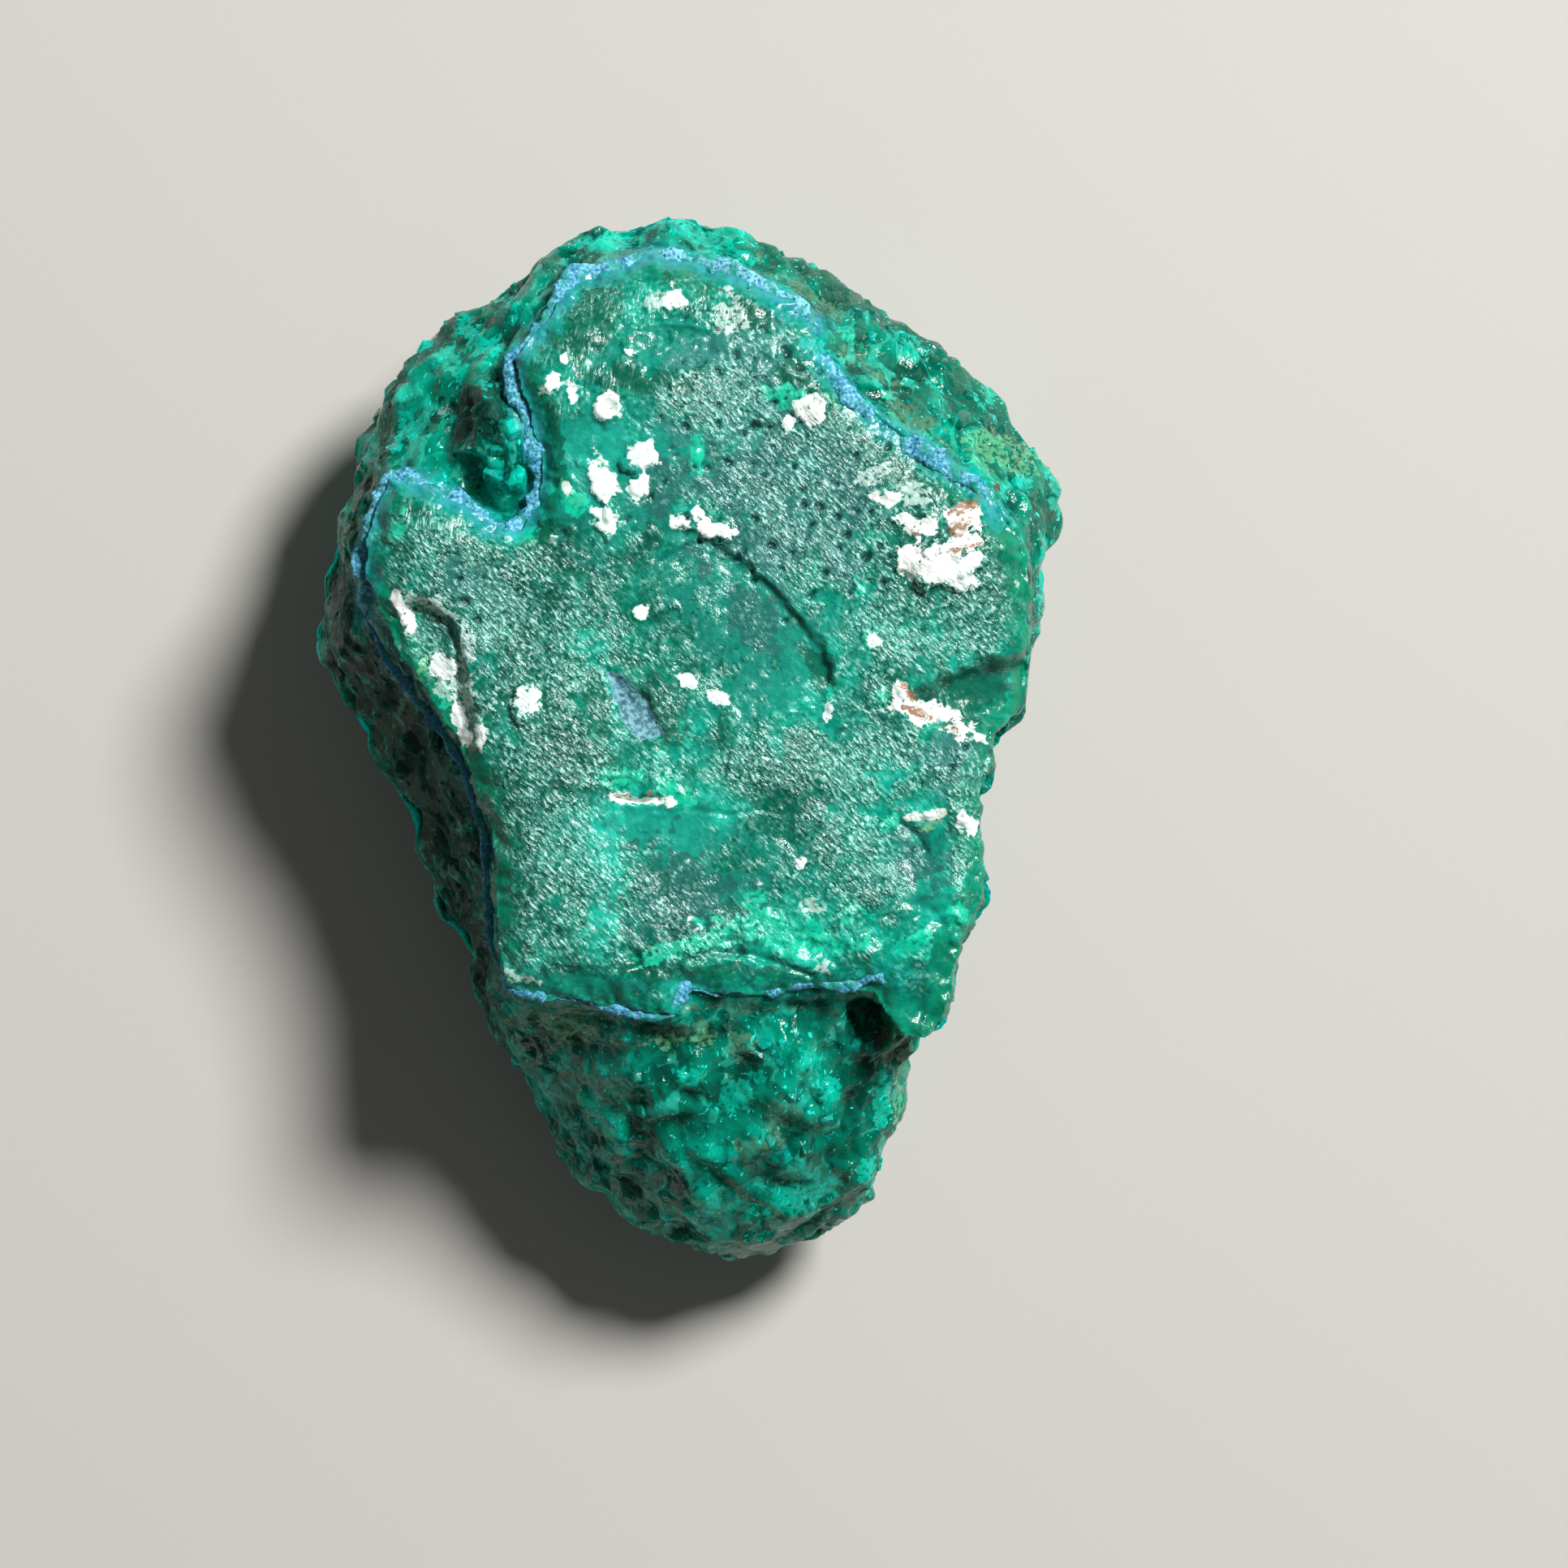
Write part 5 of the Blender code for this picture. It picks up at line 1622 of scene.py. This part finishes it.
    def mark(self, mesh: bpy.types.Mesh, points: np.ndarray, torn: np.ndarray,
             wall: np.ndarray) -> None:
        """Store the masks that the skin's finish reads.

        Args:
            mesh: the finished mesh.
            points: its vertices in millimetres.
            torn: the shift of the patches' ragged edges at each vertex.
            wall: 1 on the wall and 0 on the sheet.
        """
        x, y = points[:, 0], points[:, 1]
        to_rim = edge_distance(x, y, PLATEAU) + self.rim_wander * torn
        rim = np.maximum(smooth_step(*self.rim_fade, to_rim), wall)
        frost = self.frost + swell(points, self.frost_waves) + self.rim_frost * rim
        for patches, share in self.frost_shares:
            frost += share * patch_cover(points, patches, torn)
        shade = self.shade + swell(points, self.shade_waves)
        shade += self.frosted_shade * patch_cover(points, FROSTED, torn)
        shade += wall * (self.wall_shade + swell(points, self.wall_shade_waves))
        to_window = edge_distance(x, y, SMALL_WINDOW) + self.window_wander * torn
        window = smooth_step(*self.window_fade, to_window)
        masks = {"rim": rim, "calm": patch_cover(points, CALM, torn),
                 "window": window, "specks": self.speck_share * window,
                 "frost": np.clip(frost, 0.0, 1.0) * (1.0 - wall),
                 "shade": np.clip(shade, 0.0, 1.0)}
        for name, values in masks.items():
            set_mask(mesh, name, values)
        set_patch_masks(mesh, points, np.ones(len(points)))

    def mesh(self) -> bpy.types.Mesh:
        """Shape the skin's mesh from the flat slab.

        Returns:
            The closed mesh, with the masks that its finish reads.
        """
        mesh = self.slab()
        flat = read_rows(mesh.vertices, "co") * FLAT
        lowered = take_mask(mesh, "lowered")
        torn = swell(flat, TORN_EDGE)
        hole = self.holes(flat, patch_cover(flat, PITTED, torn))
        ragged = flat[:, :2] + sway(flat, self.ragged, 2)
        height = self.form.plateau(*ragged.T)
        height += self.tip_glints(flat, torn) + self.relief(flat, torn, hole) - lowered
        points = np.column_stack([flat[:, :2], height])
        wall = smooth_step(0.0, self.wall_start, lowered)
        points[:, :2] += wall[:, None] * sway(points, self.wall_waves, 2)
        set_points(mesh, points)
        set_mask(mesh, "hole", hole)
        self.mark(mesh, points, torn, wall)
        return mesh

    def build(self, material: bpy.types.Material) -> bpy.types.Object:
        """Return the finished piece."""
        return finish_piece(self.name, self.mesh(), material)


@dataclass
class BlueSeam:
    """A stretch of the thin blue layer that comes out under the plateau's edge."""

    form: StoneForm
    stretch: Seam
    step: float = 0.07
    sides: int = 14
    flatness: float = 0.45
    lift: float = 0.16
    cross_steps: int = 9
    taper: tuple[int, int] = (-1, 12)
    uneven: Waves = ((0.45, 1.1, 41), (0.35, 0.4, 45))
    wander: Waves = ((0.12, 0.8, 46),)
    fuzz: Waves = ((0.07, 0.30, 42), (0.05, 0.12, 47))
    smooth_ends: tuple[int, int] = (0, 6)

    def tube(self, count: int) -> bpy.types.Mesh:
        """Make a straight closed tube of radius 1 and length 1.

        Args:
            count: how many rings of vertices it has.

        Returns:
            The tube's mesh.
        """
        bm = bmesh.new()
        bmesh.ops.create_cone(bm, cap_ends=True, segments=self.sides, radius1=1.0, radius2=1.0,
                              depth=1.0)
        lengthwise = [e for e in bm.edges if abs(e.verts[0].co.z - e.verts[1].co.z) > 0.5]
        bmesh.ops.subdivide_edges(bm, edges=lengthwise, cuts=count - 2, use_grid_fill=True)
        return new_mesh(f"seam_{self.stretch.name.lower()}", bm)

    def mesh(self) -> bpy.types.Mesh:
        """Make the stretch's mesh.

        Returns:
            The mesh, a closed cord that is flattened and roughened along its route.
        """
        half_width = self.stretch.value.half_width
        places = smooth_route(self.stretch.value.route, self.step)
        count = len(places)
        mesh = self.tube(count)
        tube = read_rows(mesh.vertices, "co")
        station = np.rint((tube[:, 2] + 0.5) * (count - 1)).astype(int)
        ahead = np.gradient(places, axis=0)
        ahead /= np.linalg.norm(ahead, axis=1, keepdims=True)
        flat = np.column_stack([places, np.zeros(count)])
        ends = np.minimum(np.arange(count), count - 1 - np.arange(count))
        width = half_width * smooth_step(*self.taper, ends) * (1.0 + swell(flat, self.uneven))
        ground = self.form.upper(places[:, 0], places[:, 1])
        padded = np.pad(ground, self.cross_steps, mode="edge")
        around = [padded[k:k + count] for k in range(2 * self.cross_steps + 1)]
        ground = np.mean(around, axis=0)
        side = np.column_stack([-ahead[:, 1], ahead[:, 0]])[station]
        across = tube[:, 0] * width[station] + swell(flat, self.wander)[station]
        points = np.column_stack([
            places[station] + side * across[:, None],
            ground[station] + self.lift + self.flatness * width[station] * tube[:, 1]])
        rough = smooth_step(*self.smooth_ends, ends) * width / half_width
        set_points(mesh, points + sway(points, self.fuzz, 3) * rough[station][:, None])
        bm = bmesh.new()
        bm.from_mesh(mesh)
        bmesh.ops.recalc_face_normals(bm, faces=bm.faces)
        bm.to_mesh(mesh)
        bm.free()
        return mesh

    def build(self) -> bpy.types.Object:
        """Return the finished piece."""
        material = SeamFinish(self.stretch.value.threads).material()
        return finish_piece(f"seam_{self.stretch.name.lower()}", self.mesh(), material)


@dataclass
class CrystalChips:
    """Whole crystals and chips that stand out of the flanks, six-sided, with pointed tips.

    They keep away from the plateau, unless the flank is steep and low, and from the notch
    and the outline; their feet, 1 mm inside the stone, are covered all round.
    """

    form: StoneForm
    name: str = "crystal_chips"
    doublings: int = 10
    radii: tuple[float, float] = (0.15, 0.55)
    rarity: int = 3
    lengths: tuple[float, float] = (0.6, 1.2)
    stand_out: float = 0.02
    lean: float = 0.5
    sides: int = 6
    body: float = 4.0
    tip_faces: int = 3
    tip_turn: float = 30.0
    tip_slope: float = 0.75
    seed: int = 5
    from_plateau: float = 0.8
    steep_normal: float = 0.6
    low_height: float = 10.0
    from_outline: float = 0.35
    foot_from_outline: float = 0.5
    foot_cover: float = 0.3
    seen_above_girth: tuple[float, float] = (-1.0, 1.0)

    def one_crystal(self) -> bmesh.types.BMesh:
        """Cut one crystal of radius 1.

        Returns:
            The crystal, its tip at the origin and its body below.
        """
        bm = bmesh.new()
        bmesh.ops.create_cone(
            bm, cap_ends=True, segments=self.sides, radius1=1.0, radius2=1.0,
            depth=self.body, matrix=Matrix.Translation((0.0, 0.0, -0.5 * self.body)))
        for face in range(self.tip_faces):
            angle = math.radians(self.tip_turn + 360.0 * face / self.tip_faces)
            outward = Vector((math.cos(angle), math.sin(angle), 1.0 / self.tip_slope))
            cut = bmesh.ops.bisect_plane(
                bm, geom=bm.verts[:] + bm.edges[:] + bm.faces[:], dist=1e-5,
                plane_co=(0.0, 0.0, 0.0), plane_no=outward.normalized(), clear_outer=True)
            rim = [item for item in cut["geom_cut"] if isinstance(item, bmesh.types.BMEdge)]
            bmesh.ops.holes_fill(bm, edges=rim)
        return bm

    def copies(self) -> bpy.types.Mesh:
        """Copy the crystal, each time doubling the number.

        Returns:
            The mesh of all copies in one place, with each vertex's copy number stored.
        """
        bm = self.one_crystal()
        copy = bm.verts.layers.int.new("copy")
        for doubling in range(self.doublings):
            made = bmesh.ops.duplicate(bm, geom=bm.verts[:] + bm.edges[:] + bm.faces[:])["geom"]
            for vert in made:
                if isinstance(vert, bmesh.types.BMVert):
                    vert[copy] += 2 ** doubling
        return new_mesh(self.name, bm)

    def seats(self, points: np.ndarray, normals: np.ndarray) -> np.ndarray:
        """Find where on the flank a crystal may stand.

        Args:
            points: the flank's vertices in millimetres.
            normals: its vertex normals.

        Returns:
            The numbers of the vertices that may carry a crystal.
        """
        x, y, z = points.T
        allowed = edge_distance(x, y, PLATEAU) < -self.from_plateau
        allowed |= (normals[:, 2] < self.steep_normal) & (z < self.low_height)
        allowed &= edge_distance(x, y, NOTCH) < -self.from_plateau
        allowed &= edge_distance(x, y, OUTLINE) > self.from_outline
        x, y, z = (points - normals).T
        allowed &= edge_distance(x, y, OUTLINE) > self.foot_from_outline
        allowed &= z < self.form.upper(x, y) - self.foot_cover
        allowed &= z > self.form.lower(x, y) + self.foot_cover
        return np.flatnonzero(allowed)

    def mesh(self, flank: bpy.types.Mesh) -> bpy.types.Mesh:
        """Stand all the crystals on the flank.

        Args:
            flank: the finished mesh, in metres, on which they stand.

        Returns:
            The joined mesh, in millimetres.
        """
        mesh = self.copies()
        copies = take_mask(mesh, "copy").astype(int)
        count = 2 ** self.doublings
        random = np.random.default_rng(self.seed)
        points = read_rows(flank.vertices, "co") / MM + (0.0, 0.0, BREAK_HEIGHT)
        normals = read_rows(flank.vertex_normals, "vector")
        chosen = random.choice(self.seats(points, normals), count, replace=False)
        tones = random.random(count)
        places = np.empty((count, 4, 4))
        for number, index in enumerate(chosen):
            size = random.random() ** self.rarity
            radius = self.radii[0] + (self.radii[1] - self.radii[0]) * size
            length = random.uniform(*self.lengths)
            axis = Vector(normals[index] + self.lean * random.normal(size=3) / math.sqrt(3.0))
            axis.normalize()
            tip = Vector(points[index]) + axis * self.stand_out
            turn = axis.to_track_quat("Z", "Y").to_matrix().to_4x4()
            spin = Matrix.Rotation(random.uniform(0.0, math.pi), 4, "Z")
            scale = Matrix.Diagonal((radius, radius, min(radius, length / self.body), 1.0))
            places[number] = np.array(Matrix.Translation(tip) @ turn @ spin @ scale)
        place = places[copies]
        points = np.einsum("nij,nj->ni", place[:, :3, :3], read_rows(mesh.vertices, "co"))
        points += place[:, :3, 3]
        set_points(mesh, points)
        set_mask(mesh, "tone", tones[copies] - 0.5)
        above_girth = points[:, 2] - by_place(points[:, 0], points[:, 1], GIRTH_HEIGHTS)
        set_patch_masks(mesh, points, smooth_step(*self.seen_above_girth, above_girth))
        return mesh

    def build(self, flank: bpy.types.Object,
              material: bpy.types.Material) -> bpy.types.Object:
        """Finish the piece, its faces flat.

        Args:
            flank: the finished flank on which the crystals stand.
            material: their finish.

        Returns:
            The finished piece.
        """
        piece = finish_piece(self.name, self.mesh(flank.data), material)
        piece.data.shade_flat()
        return piece


# ---------------------------------------------------------------- the studio


@dataclass(frozen=True)
class Studio:
    """A plain pale floor, one soft key light from the upper right, and the camera overhead."""

    view_middle: tuple[float, float] = (3.75, -1.8125)
    view_width: float = 60.375
    camera_distance: float = 400.0
    sensor: float = 36.0
    nearest_seen: float = 10.0
    key_turn: float = 45.0
    key_height: float = 48.0
    key_distance: float = 600.0
    key_size: float = 170.0
    key_power: float = 6.0
    fill: float = 0.10
    floor_size: float = 3000.0
    floor: str = "#bdbab4"
    floor_roughness: float = 0.9

    def place_camera(self) -> None:
        """Put the camera straight above the middle of the view."""
        data = bpy.data.cameras.new("camera")
        data.sensor_width = self.sensor
        data.lens = self.sensor * self.camera_distance / self.view_width
        data.clip_start = self.nearest_seen * MM
        camera = new_object("camera", data)
        camera.location = (self.view_middle[0] * MM, self.view_middle[1] * MM,
                           (PLATEAU_HEIGHT + self.camera_distance) * MM)
        bpy.context.scene.camera = camera

    def place_key(self) -> None:
        """Hang the soft key light at the upper right, facing the stone."""
        turn, height = math.radians(self.key_turn), math.radians(self.key_height)
        way = Vector((math.cos(turn) * math.cos(height), math.sin(turn) * math.cos(height),
                      math.sin(height)))
        data = bpy.data.lights.new("key", "AREA")
        data.shape = "DISK"
        data.size = self.key_size * MM
        data.energy = self.key_power
        key = new_object("key", data)
        key.location = way * self.key_distance * MM
        key.rotation_euler = way.to_track_quat("Z", "Y").to_euler()

    def lay_floor(self) -> None:
        """Lay the pale floor at the height on which the stone rests."""
        bm = bmesh.new()
        bmesh.ops.create_grid(bm, x_segments=1, y_segments=1, size=0.5 * self.floor_size * MM)
        mesh = new_mesh("floor", bm)
        sheet = NodeSheet("matt_paper")
        sheet.shader.inputs["Base Color"].default_value = linear_colour(self.floor)
        sheet.shader.inputs["Roughness"].default_value = self.floor_roughness
        mesh.materials.append(sheet.material)
        new_object("floor", mesh)

    def fill_air(self) -> None:
        """Light the stone softly from all round."""
        world = bpy.data.worlds.new("soft_air")
        world.use_nodes = True
        background = world.node_tree.nodes["Background"]
        background.inputs["Color"].default_value = (1.0, 1.0, 1.0, 1.0)
        background.inputs["Strength"].default_value = self.fill
        bpy.context.scene.world = world

    def build(self) -> None:
        """Set up the whole studio."""
        self.place_camera()
        self.place_key()
        self.lay_floor()
        self.fill_air()
        bpy.context.scene.view_settings.view_transform = "Standard"


def main() -> None:
    """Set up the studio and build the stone's pieces in order."""
    logging.basicConfig(level=logging.INFO, format="%(asctime)s %(message)s")
    form = StoneForm()
    Studio().build()
    crystal = CrystalFinish().material()
    flank = CrystalCourse(form, "crystal_flank", turns=1060, rings=92, under=False,
                          rounding=4).build(crystal)
    CrystalCourse(form, "crystal_underside", turns=636, rings=84, under=True,
                  rounding=2).build(crystal)
    GlassySkin(form).build(SkinFinish().material())
    for stretch in Seam:
        BlueSeam(form, stretch).build()
    CrystalChips(form).build(flank, crystal)


if __name__ == "__main__":
    main()
